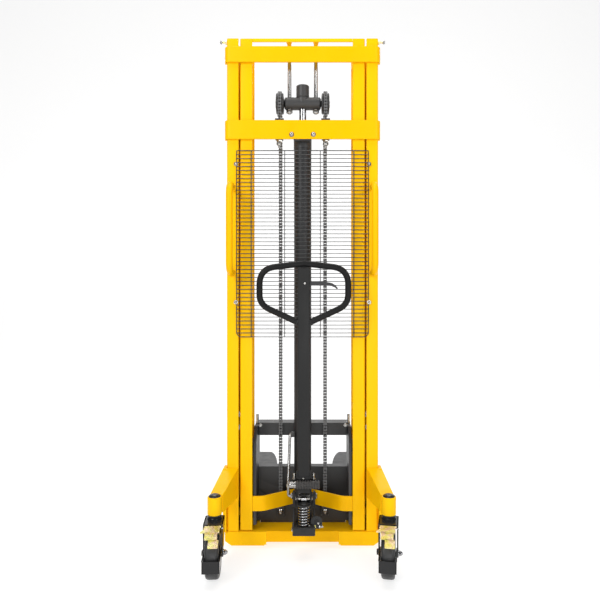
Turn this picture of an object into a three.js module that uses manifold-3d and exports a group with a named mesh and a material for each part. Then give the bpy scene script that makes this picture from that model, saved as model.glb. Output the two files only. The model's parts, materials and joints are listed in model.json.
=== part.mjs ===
// Walkie stacker with a hand-pumped two-stage mast. Millimetres, +Z up, forks towards +Y,
// +X to the right of an operator who stands behind the mast. The truck is drawn from the
// rear face of its outer posts, then moved so that the origin is on the floor under its middle.
import * as THREE from "three";
import { mergeVertices } from "three/addons/utils/BufferGeometryUtils.js";
import Module from "manifold-3d";

const GAP = 0.3;
const WELD = 1e-4;
const ORIGIN_Y = 391.6;

// Mast
const MAST_TOP = 2080;
const OUTER = { in: 261, out: 309, rear: 0, front: 100, web: 9, flange: 10 };
const INNER = { in: 205, out: 255, rear: 2, front: 98, web: 9, flange: 9 };
const POST_MID_Y = (OUTER.rear + OUTER.front) / 2;
const TOP_BAR = { low: 2067, rear: 2, front: 8 };
const LUG = { wide: 12, narrow: 8.5, waist: 31, front: 66, bore: 5.3 };
const PLATE = { half: 318, thick: 10, wrap: 20, bevel: 12 };
const TOP_PLATE = { low: 1980, high: 2044 };
const CYLINDER_PLATE = { low: 1667, high: 1744 };
const GUARD = { half: 271, low: 863, high: 1621, rear: -5.5, front: -1.5, wire: 5, rows: 9 };
const GUARD_BARS = [-268.5, -209, -72.5, 72.5, 209, 268.5];
const GRAB = { x: 286, low: 1124, high: 1472, reach: 86, bend: 34, radius: 13.5 };
const CROSSPIECE = { low: 150, high: 210, rear: 5, thick: 9, flat: 163, nose: 36, bow: 96 };

// Lift: a chain of 114 links pulls the carriage twice as far as the ram rises
const PITCH = 12.7;
const RAM = { y: 53, barrel: 36, bore: 30, rod: 15, top: 1690, rodTop: 1805 };
const CROSSHEAD = { z: 1831.3, radius: 26, half: 76, pole: 27, poleTop: 1904, axle: 12 };
const CHAIN_WHEEL = { x: 94.5, half: 16.5, flange: 42.5, groove: 38.7, slot: 9, pitch: 45 };
const CHAIN = { half: 7.5, deep: 6 };
const ANCHOR_LINKS = 6;
const LOAD_LINKS = 131;
const ANCHOR_TOP = CROSSHEAD.z - ANCHOR_LINKS * PITCH;
const LOAD_END = CROSSHEAD.z - LOAD_LINKS * PITCH;
const GUIDE_ROD = { x: 55, radius: 8, low: 1788.3, nut: 13, nutHigh: 1803.3 };
const STUD = 6;

// Base, legs and forks
const BASE = { half: 316, rear: -5, front: 95, low: 13, high: 70, step: 148, beamLow: 25 };
const LEG = { in: 185, out: 285, low: 20, high: 62, front: 1000, wall: 10 };
const LOAD_ROLLER = { y: 960, radius: 37, half: 34, pin: 8 };
const FORK = { in: 150, out: 303, top: 85, tip: 1134, wall: 8, plate: 6, low: 45, nose: 68 };
const FORK_SLOPE_Y = 1122;
const FORK_TIP = { outerX: 42, outerY: 55, innerX: 75, innerY: 410, steps: 9, shell: 25 };
const SHANK = { rear: 135.3, front: 165, high: 286.7 };

// Carriage
const HEEL_PLATE = { half: 300, rear: 125, thick: 10, front: 165, low: 66, high: 297, drop: 43 };
const UPPER_BAR = { half: 189.7, rear: 110, front: 178, low: 434.5, high: 488, wall: 6 };
const SIDE = { in: 190, out: 202, rear: 15, low: 90, high: 485, pinY: 130, pinHigh: 521 };
const CARRIAGE_ROLLER = { near: 208, far: 238, radius: 38.5, pin: 12, heights: [135, 400] };
const MAST_ROLLER = { near: 264, far: 292, radius: 39.5, pin: 12, heights: [135, 510] };

// Casters
const CASTER = { x: 325, y: -190, trail: 40, radius: 90, half: 25, facets: 24 };
const CASTER_TURN = { right: -10, left: 4 };
const CASTER_AXLE_Z = CASTER.radius * Math.cos(Math.PI / CASTER.facets);
const STEM = { radius: 26.5, low: 207, high: 283, bore: 15, boreTop: 272, pinTop: 270 };
const YOKE = { in: 31, out: 36, plateLow: 186, plateHigh: 200, top: 206.5, axle: 8, nut: 43, cap: 52 };
const FOOT_GUARD = { in: 27, out: 31.3, rear: -143, low: 60, high: 102, plate: 5 };
const PEDAL_PIVOT = { y: -72, z: 193 };
const PEDAL_SLOPE = 21;

// Pump and tiller
const TILLER_X = 7;
const PIVOT = { y: -70, z: 240, radius: 7, half: 50 };
const PISTON = { y: -100, radius: 10, low: 130, top: 227.7, washer: 27, washerLow: 213 };
const SPRING = { outer: 23.5, inner: 18.5, low: 134.3, high: 212.7 };
const PUMP = { half: 44, rear: -125, low: 104, top: 134, footRear: -4, footFront: 10, column: 32 };
const TUBE = { half: 24, rear: -133, front: -107, low: 330, high: 1138.3 };
const TUBE_MID_Y = (TUBE.rear + TUBE.front) / 2;
const LOOP = { radius: 12, half: 171, top: 1153.5, root: 31 };
const PEDAL_BAR = { y: -141, z: 307, sleeve: 16, rod: 11.5, from: -60, seam: -30, to: 61 };
const LEVER = { z: 1077, pivot: 4, reach: 129, thick: 8 };
const VALVE = { x: 56, z: 151, radius: 22, rear: -107, front: -101.3 };
const PIPE = { x: -56, radius: 6 };

const PAINT = { yellow: 0xffd200, black: 0x2c2c2d };

const wasm = await Module();
wasm.setup();
const truck = new THREE.Group();
truck.position.y = -ORIGIN_Y;

// ---- materials

function finish(color, roughness, metalness) {
  return new THREE.MeshStandardMaterial({ color, roughness, metalness });
}

const yellowPaint = finish(PAINT.yellow, 0.35, 0.0);
const blackPaint = finish(PAINT.black, 0.45, 0.0);
const chrome = finish(0xd9dadc, 0.15, 1.0);
const zinc = finish(0xc9c2b0, 0.35, 1.0);
const goldZinc = finish(0xd8c060, 0.35, 1.0);
const rubber = finish(0x1c1c1d, 0.8, 0.0);
const darkSteel = finish(0x4a4a4c, 0.4, 1.0);

// ---- solids

/** The closed body that a geometry encloses. */
function solid(geometry) {
  const plain = geometry.index ? geometry.toNonIndexed() : geometry.clone();
  plain.deleteAttribute("normal");
  plain.deleteAttribute("uv");
  const merged = mergeVertices(plain, WELD);
  const vertProperties = merged.attributes.position.array;
  const triVerts = new Uint32Array(merged.index.array);
  return new wasm.Manifold(new wasm.Mesh({ numProp: 3, vertProperties, triVerts }));
}

function geometryOf(body) {
  const { vertProperties, triVerts } = body.getMesh();
  const geometry = new THREE.BufferGeometry();
  geometry.setAttribute("position", new THREE.BufferAttribute(vertProperties, 3));
  geometry.setIndex(new THREE.BufferAttribute(triVerts, 1));
  geometry.computeVertexNormals();
  return geometry;
}

const join = (first, ...others) => others.reduce((body, other) => body.add(other), first);
const cut = (first, ...others) => others.reduce((body, other) => body.subtract(other), first);

const AXES = {
  XY: [new THREE.Vector3(1, 0, 0), new THREE.Vector3(0, 1, 0), new THREE.Vector3(0, 0, 1)],
  YZ: [new THREE.Vector3(0, 1, 0), new THREE.Vector3(0, 0, 1), new THREE.Vector3(1, 0, 0)],
  XZ: [new THREE.Vector3(1, 0, 0), new THREE.Vector3(0, 0, 1), new THREE.Vector3(0, -1, 0)],
};

/** An outline in a plane, given thickness between two levels of the third axis. */
function prism(plane, outline, from, to) {
  const shape = new THREE.Shape(outline.map(([u, v]) => new THREE.Vector2(u, v)));
  const geometry = new THREE.ExtrudeGeometry(shape, { depth: to - from, bevelEnabled: false });
  const start = plane === "XZ" ? to : from;
  const place = new THREE.Matrix4().makeBasis(...AXES[plane]);
  const step = AXES[plane][2].clone().multiplyScalar(plane === "XZ" ? -start : start);
  return solid(geometry.applyMatrix4(place.setPosition(step)));
}

function box(x0, x1, y0, y1, z0, z1) {
  const geometry = new THREE.BoxGeometry(x1 - x0, y1 - y0, z1 - z0);
  return solid(geometry.translate((x0 + x1) / 2, (y0 + y1) / 2, (z0 + z1) / 2));
}

/** Stands a shape drawn along the local Y axis along a named axis. */
function alongAxis(geometry, axis) {
  if (axis === "X") geometry.rotateZ(-Math.PI / 2);
  if (axis === "Z") geometry.rotateX(Math.PI / 2);
  return geometry;
}

/** A round bar from a point, along an axis. */
function bar(axis, [x, y, z], length, radius, sides = 16) {
  const geometry = new THREE.CylinderGeometry(radius, radius, length, sides, 1);
  geometry.translate(0, length / 2, 0);
  return solid(alongAxis(geometry, axis).translate(x, y, z));
}

/** A turned part: its profile is [radius, distance] pairs, anticlockwise, about an axis. */
function turned(axis, [x, y, z], profile, sides = 16) {
  const points = profile.map(([r, h]) => new THREE.Vector2(r, h));
  const geometry = new THREE.LatheGeometry(points, sides, Math.PI / sides);
  return solid(alongAxis(geometry, axis).translate(x, y, z));
}

/** A ring with a square section, such as a roller on its pin. */
function ring(axis, centre, inner, outer, length, sides = 16) {
  const half = length / 2;
  const profile = [[inner, -half], [outer, -half], [outer, half], [inner, half], [inner, -half]];
  return turned(axis, centre, profile, sides);
}

/** A round tube or rod that follows a path. */
function bentRod(path, radius, sides, steps) {
  const section = new THREE.Shape();
  for (let i = 0; i < sides; i += 1) {
    const angle = (2 * Math.PI * i) / sides;
    const point = [radius * Math.cos(angle), radius * Math.sin(angle)];
    if (i === 0) section.moveTo(...point);
    else section.lineTo(...point);
  }
  section.closePath();
  return solid(new THREE.ExtrudeGeometry(section, { extrudePath: path, steps }));
}

/** A path of straight runs with rounded corners. */
function roundedPath(points, bend) {
  const path = new THREE.CurvePath();
  let last = points[0];
  for (let i = 1; i < points.length - 1; i += 1) {
    const corner = points[i];
    const before = corner.clone().add(points[i - 1].clone().sub(corner).setLength(bend));
    const after = corner.clone().add(points[i + 1].clone().sub(corner).setLength(bend));
    path.add(new THREE.LineCurve3(last, before));
    path.add(new THREE.QuadraticBezierCurve3(before, corner, after));
    last = after;
  }
  path.add(new THREE.LineCurve3(last, points[points.length - 1]));
  return path;
}

// ---- naming and placing

function part(name, body, material, parent = truck) {
  const mesh = new THREE.Mesh(geometryOf(body), material);
  mesh.name = name;
  parent.add(mesh);
  return mesh;
}

/** A right-hand part and its mirror image on the left. */
function pair(name, body, material) {
  part(`${name}_right`, body, material);
  part(`${name}_left`, body, material).scale.x = -1;
}

// ---- chassis

function baseFrame() {
  const { half, rear, front, low, high, step, beamLow } = BASE;
  const bevel = 18;
  const outline = [
    [-half, high], [-half, low + bevel], [-half + 26, low], [-step - 7, low], [-step, beamLow],
    [step, beamLow], [step + 7, low], [half - 26, low], [half, low + bevel], [half, high],
  ];
  const setBack = 6;
  const recess = box(-step, step, rear - 1, rear + setBack, low, high + 1);
  return cut(prism("XZ", outline, rear, front), recess);
}

function baseLeg() {
  const { in: near, out: far, low, high, front, wall } = LEG;
  const { y, half, pin, radius } = LOAD_ROLLER;
  const body = box(near, far, BASE.front + GAP, front, low, high);
  const middle = (near + far) / 2;
  const slot = box(middle - half - 2, middle + half + 2, y - radius - 5, front + 1, 0, high + 1);
  const hollow = box(near + wall, far - wall, BASE.front, y - radius - 40, low + 6, high - 6);
  return join(cut(body, slot, hollow), bar("X", [near + 1, y, radius], far - near - 2, pin, 12));
}

/** A C channel along Z, open towards the middle of the truck. */
function channel(size, low, high) {
  const { in: near, out: far, rear, front, web, flange } = size;
  const outline = [
    [near, rear], [far, rear], [far, front], [near, front], [near, front - flange],
    [far - web, front - flange], [far - web, rear + flange], [near, rear + flange],
  ];
  return prism("XY", outline, low, high);
}

/** A flat bar across the rear of the outer posts, with its ends bent round their sides. */
function crossPlate({ low, high }) {
  const { half, thick, wrap, bevel } = PLATE;
  const inside = OUTER.out + GAP;
  const rear = -GAP - thick;
  const right = [[half - bevel, rear], [half, rear + bevel], [half, wrap], [inside, wrap]];
  const outline = [...right, [inside, -GAP]];
  const mirrored = outline.map(([x, y]) => [-x, y]).reverse();
  return prism("XY", [...outline, ...mirrored], low, high);
}

/** The lower cross plate also holds the chain anchors: a lug, and a stud with a clevis on top. */
function cylinderPlate() {
  const anchors = [-1, 1].flatMap((side) => {
    const x = side * CHAIN_WHEEL.x;
    const y = RAM.y - CHAIN_WHEEL.pitch;
    const lug = box(x - 16, x + 16, -2, y + 9, CYLINDER_PLATE.low, CYLINDER_PLATE.low + 12);
    const stud = bar("Z", [x, y, 1645], ANCHOR_TOP - GAP - 1645, STUD, 10);
    const nut = bar("Z", [x, y, 1655], CYLINDER_PLATE.low - 1655 + 1, 11, 6);
    const clevis = box(x - 18, x + 18, y - 6.5, y + 6, CYLINDER_PLATE.high + 1, ANCHOR_TOP - GAP);
    return [lug, stud, nut, clevis];
  });
  return join(crossPlate(CYLINDER_PLATE), ...anchors);
}

function meshGuard() {
  const { half, low, high, rear, front, wire, rows } = GUARD;
  const w = wire / 2;
  const uprights = GUARD_BARS.map((x) => box(x - w, x + w, rear, front, low - w, high + w));
  const wires = [];
  for (let row = 0; row <= rows; row += 1) {
    const z = low + (row * (high - low)) / rows;
    wires.push(box(-half, half, rear, front, z - w, z + w));
  }
  return join(...uprights, ...wires);
}

function grabBar() {
  const { x, low, high, reach, bend, radius } = GRAB;
  const points = [[-GAP, high], [-reach, high], [-reach, low], [-GAP, low]];
  const path = roundedPath(points.map(([y, z]) => new THREE.Vector3(x, y, z)), bend);
  return bentRod(path, radius, 8, 12);
}

/** Box arm from the post down to the stem tube, with a plate down the outside of the post. */
function casterArm() {
  const { x, y } = CASTER;
  const { radius, low, high, bore, boreTop } = STEM;
  const plan = [[OUTER.in + 1, -GAP], [x - radius + 2, y], [x + radius - 2, y], [323, -GAP]];
  const side = [[-GAP, 208], [-GAP, 329], [y + 10, 277], [y + 10, 214]];
  const box1 = prism("XY", plan, 100, 400).intersect(prism("YZ", side, 200, 400));
  const plate = box(OUTER.out + GAP, 323, -14, 62, BASE.high + GAP, 329);
  const postRoom = box(OUTER.in - 1, OUTER.out + GAP, -GAP, 80, 0, 400);
  const stem = bar("Z", [x, y, low], high - low, radius, 24);
  const kingpin = bar("Z", [x, y, low - 1], boreTop - low + 1, bore, 16);
  return cut(join(box1, plate, stem), postRoom, kingpin);
}

function liftCylinder() {
  const { y, barrel, bore, rod, top } = RAM;
  const low = BASE.high + GAP;
  const profile = [
    [0, low], [barrel + 6, low], [barrel + 6, low + 12], [barrel, low + 12], [barrel, top],
    [rod + GAP, top], [rod + GAP, top - 30], [bore, top - 30], [bore, low + 15], [0, low + 15],
  ];
  return turned("Z", [0, y, 0], profile);
}

function oilPipe() {
  const { x, radius } = PIPE;
  const points = [
    [TILLER_X - PUMP.half - GAP, -48, 232], [x, -48, 232], [x, -48, 290],
    [x + 2, 12, 400], [x + 4, 30, 458], [-32.4, 30, 458],
  ];
  const path = roundedPath(points.map((p) => new THREE.Vector3(...p)), 13);
  return bentRod(path, radius, 8, 20);
}

// ---- pump

function pumpBody() {
  const { half, rear, low, top, footRear, footFront, column } = PUMP;
  const x = TILLER_X;
  const eyes = [-1, 1].map((side) => {
    const [near, far] = side > 0 ? [x + 36, x + half] : [x - half, x - 36];
    const ear = [[-84, 226], [-78, 206], [-55, 200], [-44, 200], [-44, 240], [-58, 256], [-80, 254]];
    return prism("YZ", ear, near, far);
  });
  const block = box(x - half, x + half, rear, footFront, low, top);
  const foot = box(x - half, x + half, footRear, footFront, BASE.high + GAP, low + 1);
  const post = box(x - column, x + column, -62, -30, top - 1, 215);
  const shoulder = box(x - half, x + half, -62, -36, 195, 215);
  const valveEar = box(x + half - 4, x + half + 20, VALVE.front + GAP, -92, 122, 160);
  const bore = bar("Z", [x, PISTON.y, low - 1], top - low + 2, PISTON.radius + GAP, 16);
  const pinHole = bar("X", [x - half - 1, PIVOT.y, PIVOT.z], 2 * half + 2, PIVOT.radius + GAP, 16);
  return cut(join(block, foot, post, shoulder, ...eyes, valveEar), bore, pinHole);
}

function pumpPiston() {
  const { y, radius, low, top, washer, washerLow } = PISTON;
  const profile = [
    [0, low], [radius, low], [radius, washerLow], [washer, washerLow], [washer, washerLow + 5],
    [radius, washerLow + 5], [radius, top], [0, top],
  ];
  return turned("Z", [TILLER_X, y, 0], profile, 16);
}

function valveLever() {
  const { x, z, radius, rear, front } = VALVE;
  const outline = [];
  const steps = 10;
  for (let i = 0; i <= steps; i += 1) {
    const angle = (Math.PI * i) / steps;
    outline.push([x + radius * Math.cos(angle), z + radius * Math.sin(angle)]);
  }
  outline.push([x - radius, z - 6], [x - 4, z - 14], [x + radius, z - 6]);
  return prism("XZ", outline, rear, front);
}

// ---- tiller

function tiller() {
  const x = TILLER_X;
  const { half, rear, front, low, high } = TUBE;
  const { y, z, radius } = PIVOT;
  const cheek = [
    [-110, 234], [-104, 228], [-62, 226], [-55, 240], [-60, 252], [-96, 305], [-107, 352],
    [-133, 352], [-133, 327], [-124.7, 322], [-124.7, 290], [-110, 252],
  ];
  const cheeks = [-1, 1].map((side) => {
    const [near, far] = side > 0 ? [x + half - 0.5, x + 30] : [x - 30, x - half + 0.5];
    return prism("YZ", cheek, near, far);
  });
  const tube = box(x - half, x + half, rear, front, low, high);
  const rollerPin = bar("X", [x - 29, PISTON.y, z], 58, 5, 10);
  const leverSlot = box(x - 6, x + half + 1, TUBE_MID_Y - 6, TUBE_MID_Y + 6, 1050, 1105);
  const pinHole = bar("X", [x - 40, y, z], 80, radius + GAP, 16);
  return cut(join(tube, ...cheeks, rollerPin), leverSlot, pinHole);
}

function handleLoop() {
  const { radius, half, top, root } = LOOP;
  const at = (x, z) => new THREE.Vector3(TILLER_X + x, TUBE_MID_Y, z);
  const path = new THREE.CurvePath();
  const side = (s) => [
    new THREE.LineCurve3(at(s * root, 930), at(s * 132, 977)),
    new THREE.QuadraticBezierCurve3(at(s * 132, 977), at(s * half, 995), at(s * half, 1034)),
    new THREE.LineCurve3(at(s * half, 1034), at(s * half, 1072)),
    new THREE.QuadraticBezierCurve3(at(s * half, 1072), at(s * half, 1134), at(s * 110, 1141)),
    new THREE.LineCurve3(at(s * 110, 1141), at(0, top)),
  ];
  side(-1).forEach((curve) => path.add(curve));
  for (const curve of side(1).reverse()) {
    const back = curve instanceof THREE.LineCurve3
      ? new THREE.LineCurve3(curve.v2, curve.v1)
      : new THREE.QuadraticBezierCurve3(curve.v2, curve.v1, curve.v0);
    path.add(back);
  }
  return bentRod(path, radius, 8, 34);
}

function footPedal() {
  const { y, z, sleeve, rod, from, seam, to } = PEDAL_BAR;
  const profile = [
    [0, from], [rod, from], [rod, seam], [sleeve, seam], [sleeve, to], [0, to],
  ];
  return turned("X", [TILLER_X, y, z], profile, 16);
}

function releaseLever() {
  const { z, pivot, reach, thick } = LEVER;
  const outline = [
    [pivot - 6, z - 8], [88, z - 8], [108, z - 10], [reach, z - 24], [reach + 2, z - 17],
    [112, z + 1], [90, z + 5], [40, z + 9], [pivot - 6, z + 9],
  ];
  const shifted = outline.map(([x, height]) => [TILLER_X + x, height]);
  return prism("XZ", shifted, TUBE_MID_Y - thick / 2, TUBE_MID_Y + thick / 2);
}

// ---- ram and chains

function pistonRod() {
  const { y, rod, bore, rodTop } = RAM;
  const low = 112;
  const profile = [
    [0, low], [bore - GAP, low], [bore - GAP, low + 38], [rod, low + 38], [rod, rodTop],
    [0, rodTop],
  ];
  return turned("Z", [0, y, 0], profile);
}

function crosshead() {
  const { z, radius, half, pole, poleTop, axle } = CROSSHEAD;
  const { y } = RAM;
  const tube = bar("X", [-half, y, z], 2 * half, radius, 20);
  const post = bar("Z", [0, y, z], poleTop - z, pole, 20);
  const ends = CHAIN_WHEEL.x + CHAIN_WHEEL.half + 2;
  const axles = bar("X", [-ends, y, z], 2 * ends, axle, 12);
  const holes = [-1, 1].map((side) =>
    bar("Z", [side * GUIDE_ROD.x, y, z - 40], 80, GUIDE_ROD.radius + 1, 10));
  return cut(join(tube, post, axles), ...holes);
}

function chainWheel(side) {
  const { x, half, flange, groove, slot } = CHAIN_WHEEL;
  const bore = CROSSHEAD.axle + GAP;
  const profile = [
    [bore, -half], [flange, -half], [flange, -slot], [groove, -slot], [groove, slot],
    [flange, slot], [flange, half], [bore, half], [bore, -half],
  ];
  return turned("X", [side * x, RAM.y, CROSSHEAD.z], profile);
}

/** The chain from its anchor straight up to the side of the wheel. */
function anchorRun(side) {
  const x = side * CHAIN_WHEEL.x;
  const y = RAM.y - CHAIN_WHEEL.pitch;
  const { half, deep } = CHAIN;
  return box(x - half, x + half, y - deep, y + deep, ANCHOR_TOP, CROSSHEAD.z - GAP);
}

/** The chain over the wheel and down to the carriage. */
function loadRun(side) {
  const { pitch, x: wheelX } = CHAIN_WHEEL;
  const { half, deep } = CHAIN;
  const outline = [];
  const steps = 12;
  const arc = (radius, i) => {
    const angle = (Math.PI * i) / steps;
    return [RAM.y - radius * Math.cos(angle), CROSSHEAD.z + radius * Math.sin(angle)];
  };
  for (let i = 0; i <= steps; i += 1) outline.push(arc(pitch + deep, i));
  outline.push([RAM.y + pitch + deep, LOAD_END], [RAM.y + pitch - deep, LOAD_END]);
  for (let i = steps; i >= 0; i -= 1) outline.push(arc(pitch - deep + GAP, i));
  const x = side * wheelX;
  return prism("YZ", outline, x - half, x + half);
}

// ---- inner mast

function innerPost() {
  const pins = MAST_ROLLER.heights.flatMap((z) => [
    bar("X", [INNER.out - 1, POST_MID_Y, z], MAST_ROLLER.near - INNER.out, 17, 16),
    bar("X", [INNER.out - 1, POST_MID_Y, z], MAST_ROLLER.far + 3 - INNER.out, MAST_ROLLER.pin, 16),
  ]);
  return join(channel(INNER, BASE.high + 3, MAST_TOP), ...pins);
}

/** Strip between the tops of the inner posts, with a tapered lug for each guide rod. */
function topBar() {
  const half = INNER.in - GAP;
  const { low, rear, front } = TOP_BAR;
  const { wide, narrow, waist, front: end, bore } = LUG;
  const parts = [-1, 1].map((side) => {
    const x = side * GUIDE_ROD.x;
    const plan = [
      [x - wide, front - 1], [x + wide, front - 1], [x + narrow, waist], [x + narrow, end],
      [x - narrow, end], [x - narrow, waist],
    ];
    return prism("XY", plan, low, MAST_TOP);
  });
  const bores = [-1, 1].map((side) =>
    bar("Z", [side * GUIDE_ROD.x, RAM.y, low - 1], MAST_TOP - low + 2, bore, 10));
  return cut(join(box(-half, half, rear, front, low, MAST_TOP), ...parts), ...bores);
}

/** Bar between the feet of the inner posts, bowed forward round the lift cylinder. */
function crosspiece() {
  const { low, high, rear, thick, flat, nose, bow } = CROSSPIECE;
  const half = INNER.in - GAP;
  const rearLine = [[half, rear], [flat, rear], [flat - 14, rear + 6]];
  const tipLine = [[nose + 6, bow - 5], [nose - 10, bow]];
  const right = [...rearLine, ...tipLine];
  const back = [...right, ...right.map(([x, y]) => [-x, y]).reverse()];
  const sideShift = thick * 0.6;
  const frontRight = [
    [half, rear + thick], [flat - sideShift / 2, rear + thick],
    [flat - 14 - sideShift, rear + 6 + thick * 0.9],
    [nose + 6 - sideShift, bow - 5 + thick * 0.9], [nose - 10 - sideShift / 2, bow + thick],
  ];
  const front = [...frontRight.map(([x, y]) => [-x, y]), ...[...frontRight].reverse()];
  return prism("XY", [...back, ...front].reverse(), low, high);
}

function guideRod() {
  const { x, radius, low, nut, nutHigh } = GUIDE_ROD;
  const shoulder = TOP_BAR.low - GAP;
  const spigot = bar("Z", [x, RAM.y, shoulder - 1], MAST_TOP - shoulder + 1, LUG.bore - GAP, 10);
  const rod = join(bar("Z", [x, RAM.y, low], shoulder - low, radius, 10), spigot);
  const nutBody = bar("Z", [x, RAM.y, low + 3], nutHigh - low - 3, nut, 6);
  return join(rod, nutBody);
}

// ---- carriage

function heelPlate() {
  const { half, rear, thick, front, low, high, drop } = HEEL_PLATE;
  const middle = LEG.in - 2;
  const outline = [
    [-half, low], [-middle, low], [-middle, drop], [middle, drop], [middle, low], [half, low],
    [half, high], [-half, high],
  ];
  const plate = prism("XZ", outline, rear, rear + thick);
  const flange = box(-half, half, rear, front, high - 10, high);
  const anchors = [-1, 1].flatMap((side) => {
    const x = side * CHAIN_WHEEL.x;
    const y = RAM.y + CHAIN_WHEEL.pitch;
    return [
      box(x - 15, x + 15, y - 9, rear + 1, 126, 138),
      bar("Z", [x, y, 108], LOAD_END - GAP - 108, STUD, 10),
      bar("Z", [x, y, 116], 12, 11, 6),
      box(x - 9, x + 9, y - 6, y + 6, 148, LOAD_END - GAP),
    ];
  });
  return join(plate, flange, ...anchors);
}

function upperBar() {
  const { half, rear, front, low, high, wall } = UPPER_BAR;
  const outer = box(-half, half, rear, front, low, high);
  return cut(outer, box(-half - 1, half + 1, rear + wall, front - wall, low + wall, high - wall));
}

function carriageSide() {
  const { in: near, out: far, rear, low, high, pinY, pinHigh } = SIDE;
  const edge = HEEL_PLATE.rear - GAP;
  const outline = [
    [rear, low], [edge, low], [edge, 298], [178, 330], [178, high], [60, high], [rear, 425],
  ];
  const plate = prism("YZ", outline, near, far);
  const { near: inner, far: outer, pin, heights } = CARRIAGE_ROLLER;
  const pins = heights.flatMap((z) => [
    bar("X", [far - 1, POST_MID_Y, z], inner - far, 17, 16),
    bar("X", [far - 1, POST_MID_Y, z], outer + 3 - far, pin, 16),
  ]);
  const stop = bar("Z", [(near + far) / 2, pinY, high - 1], pinHigh - high + 1, 5.5, 12);
  return join(plate, stop, ...pins);
}

/** Plan of a fork blade: a wide curve on the inner corner of its tip, a small one outside. */
function forkPlan(inset) {
  const { in: near, out: far, tip } = FORK;
  const outline = [[near + inset, SHANK.rear - 1], [far - inset, SHANK.rear - 1]];
  const { outerX, outerY, innerX, innerY, steps } = FORK_TIP;
  const corner = (cx, cy, rx, ry, from) => {
    for (let i = 0; i <= steps; i += 1) {
      const angle = from + (Math.PI / 2) * (i / steps);
      outline.push([cx + rx * Math.cos(angle), cy + ry * Math.sin(angle)]);
    }
  };
  const end = tip - inset;
  corner(far - inset - outerX, end - outerY, outerX, outerY, 0);
  corner(near + inset + innerX, end - innerY, innerX, innerY, Math.PI / 2);
  return outline;
}

function fork() {
  const { in: near, out: far, top, tip, wall, plate, low, nose } = FORK;
  const { shell } = FORK_TIP;
  const blade = [
    [SHANK.front, low], [FORK_SLOPE_Y, low], [tip, 32], [tip, nose], [FORK_SLOPE_Y, top],
    [SHANK.front, top],
  ];
  const under = [
    [SHANK.front - 60, 0], [tip - shell, 0], [tip - shell, low + 10],
    [FORK_SLOPE_Y - shell, top - plate], [SHANK.front - 60, top - plate],
  ];
  const outer = prism("YZ", blade, near, far).intersect(prism("XY", forkPlan(0), 0, 200));
  const hollow = prism("YZ", under, near, far).intersect(prism("XY", forkPlan(wall), -1, 200));
  const shank = box(near, far, SHANK.rear, SHANK.front + 1, top - plate - 1, SHANK.high);
  return join(cut(outer, hollow), shank);
}

// ---- casters

function casterYoke() {
  const { in: near, out: far, plateLow, plateHigh, top, axle, nut, cap } = YOKE;
  const { trail } = CASTER;
  const cheek = [
    [-trail - 14, 76], [-trail + 14, 76], [-trail + 20, 100], [26, plateLow], [26, plateHigh],
    [-62, plateHigh], [-64, plateLow], [-trail - 20, 104],
  ];
  const guard = [
    [FOOT_GUARD.rear, FOOT_GUARD.low], [FOOT_GUARD.rear + 22, FOOT_GUARD.low], [-trail - 30, 66],
    [-trail + 16, 78], [-trail + 14, 104], [-trail - 20, 108],
    [FOOT_GUARD.rear + 20, FOOT_GUARD.high + 2], [FOOT_GUARD.rear, FOOT_GUARD.high],
  ];
  const sides = [-1, 1].flatMap((s) => {
    const span = (a, b) => (s > 0 ? [a, b] : [-b, -a]);
    return [
      prism("YZ", cheek, ...span(near, far)),
      prism("YZ", guard, ...span(FOOT_GUARD.in, FOOT_GUARD.out)),
    ];
  });
  const rearY = FOOT_GUARD.rear;
  const { out, plate, low, high } = FOOT_GUARD;
  const rearPlate = box(-out, out, rearY, rearY + plate, low, high);
  const topPlate = box(-far, far, -60, 26, plateLow, plateHigh);
  const boss = bar("Z", [0, 0, plateHigh - 1], top - plateHigh + 1, 24, 20);
  const kingpin = bar("Z", [0, 0, plateHigh], STEM.pinTop - plateHigh, STEM.bore - 0.5, 16);
  const axleBar = bar("X", [-nut, -trail, CASTER_AXLE_Z], nut + cap, axle, 14);
  const nuts = bar("X", [-nut, -trail, CASTER_AXLE_Z], 2 * nut, 12, 6);
  const wheelRoom = bar("X", [-27, -trail, CASTER_AXLE_Z], 54, 60, 24);
  const cheeks = join(cut(join(...sides, topPlate, nuts), wheelRoom), rearPlate, boss, kingpin);
  return join(cheeks, axleBar);
}

function casterWheel() {
  const { trail, radius, half, facets } = CASTER;
  const bore = YOKE.axle + GAP;
  const round = 7;
  const profile = [
    [bore, -half - 1.5], [24, -half - 1.5], [radius - round, -half], [radius, -half + round],
    [radius, half - round], [radius - round, half], [24, half + 1.5], [bore, half + 1.5],
    [bore, -half - 1.5],
  ];
  return turned("X", [0, -trail, CASTER_AXLE_Z], profile, facets);
}

/** Stepped foot pedal that slopes down behind the yoke. */
function brakePedal() {
  const outline = [
    [-28, 4], [-31, -4], [-31, -14], [-42, -24], [-42, -30], [-25, -28], [-25, -56], [-10, -58],
    [-10, -92], [26, -92], [26, -58], [20, -56], [20, -27], [26, -25], [26, 4],
  ];
  const thick = 4;
  const slope = THREE.MathUtils.degToRad(PEDAL_SLOPE);
  const place = new THREE.Matrix4().makeRotationX(slope);
  place.setPosition(0, PEDAL_PIVOT.y, PEDAL_PIVOT.z);
  const plate = geometryOf(prism("XY", outline, -thick / 2, thick / 2)).applyMatrix4(place);
  return solid(plate);
}

function caster(side, name) {
  const group = new THREE.Group();
  group.position.set(side * CASTER.x, CASTER.y, 0);
  group.rotation.z = THREE.MathUtils.degToRad(CASTER_TURN[name]);
  part(`caster_yoke_${name}`, casterYoke(), blackPaint, group);
  part(`caster_wheel_${name}`, casterWheel(), rubber, group);
  part(`brake_pedal_${name}`, brakePedal(), goldZinc, group);
  truck.add(group);
}

// ---- assembly

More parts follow.
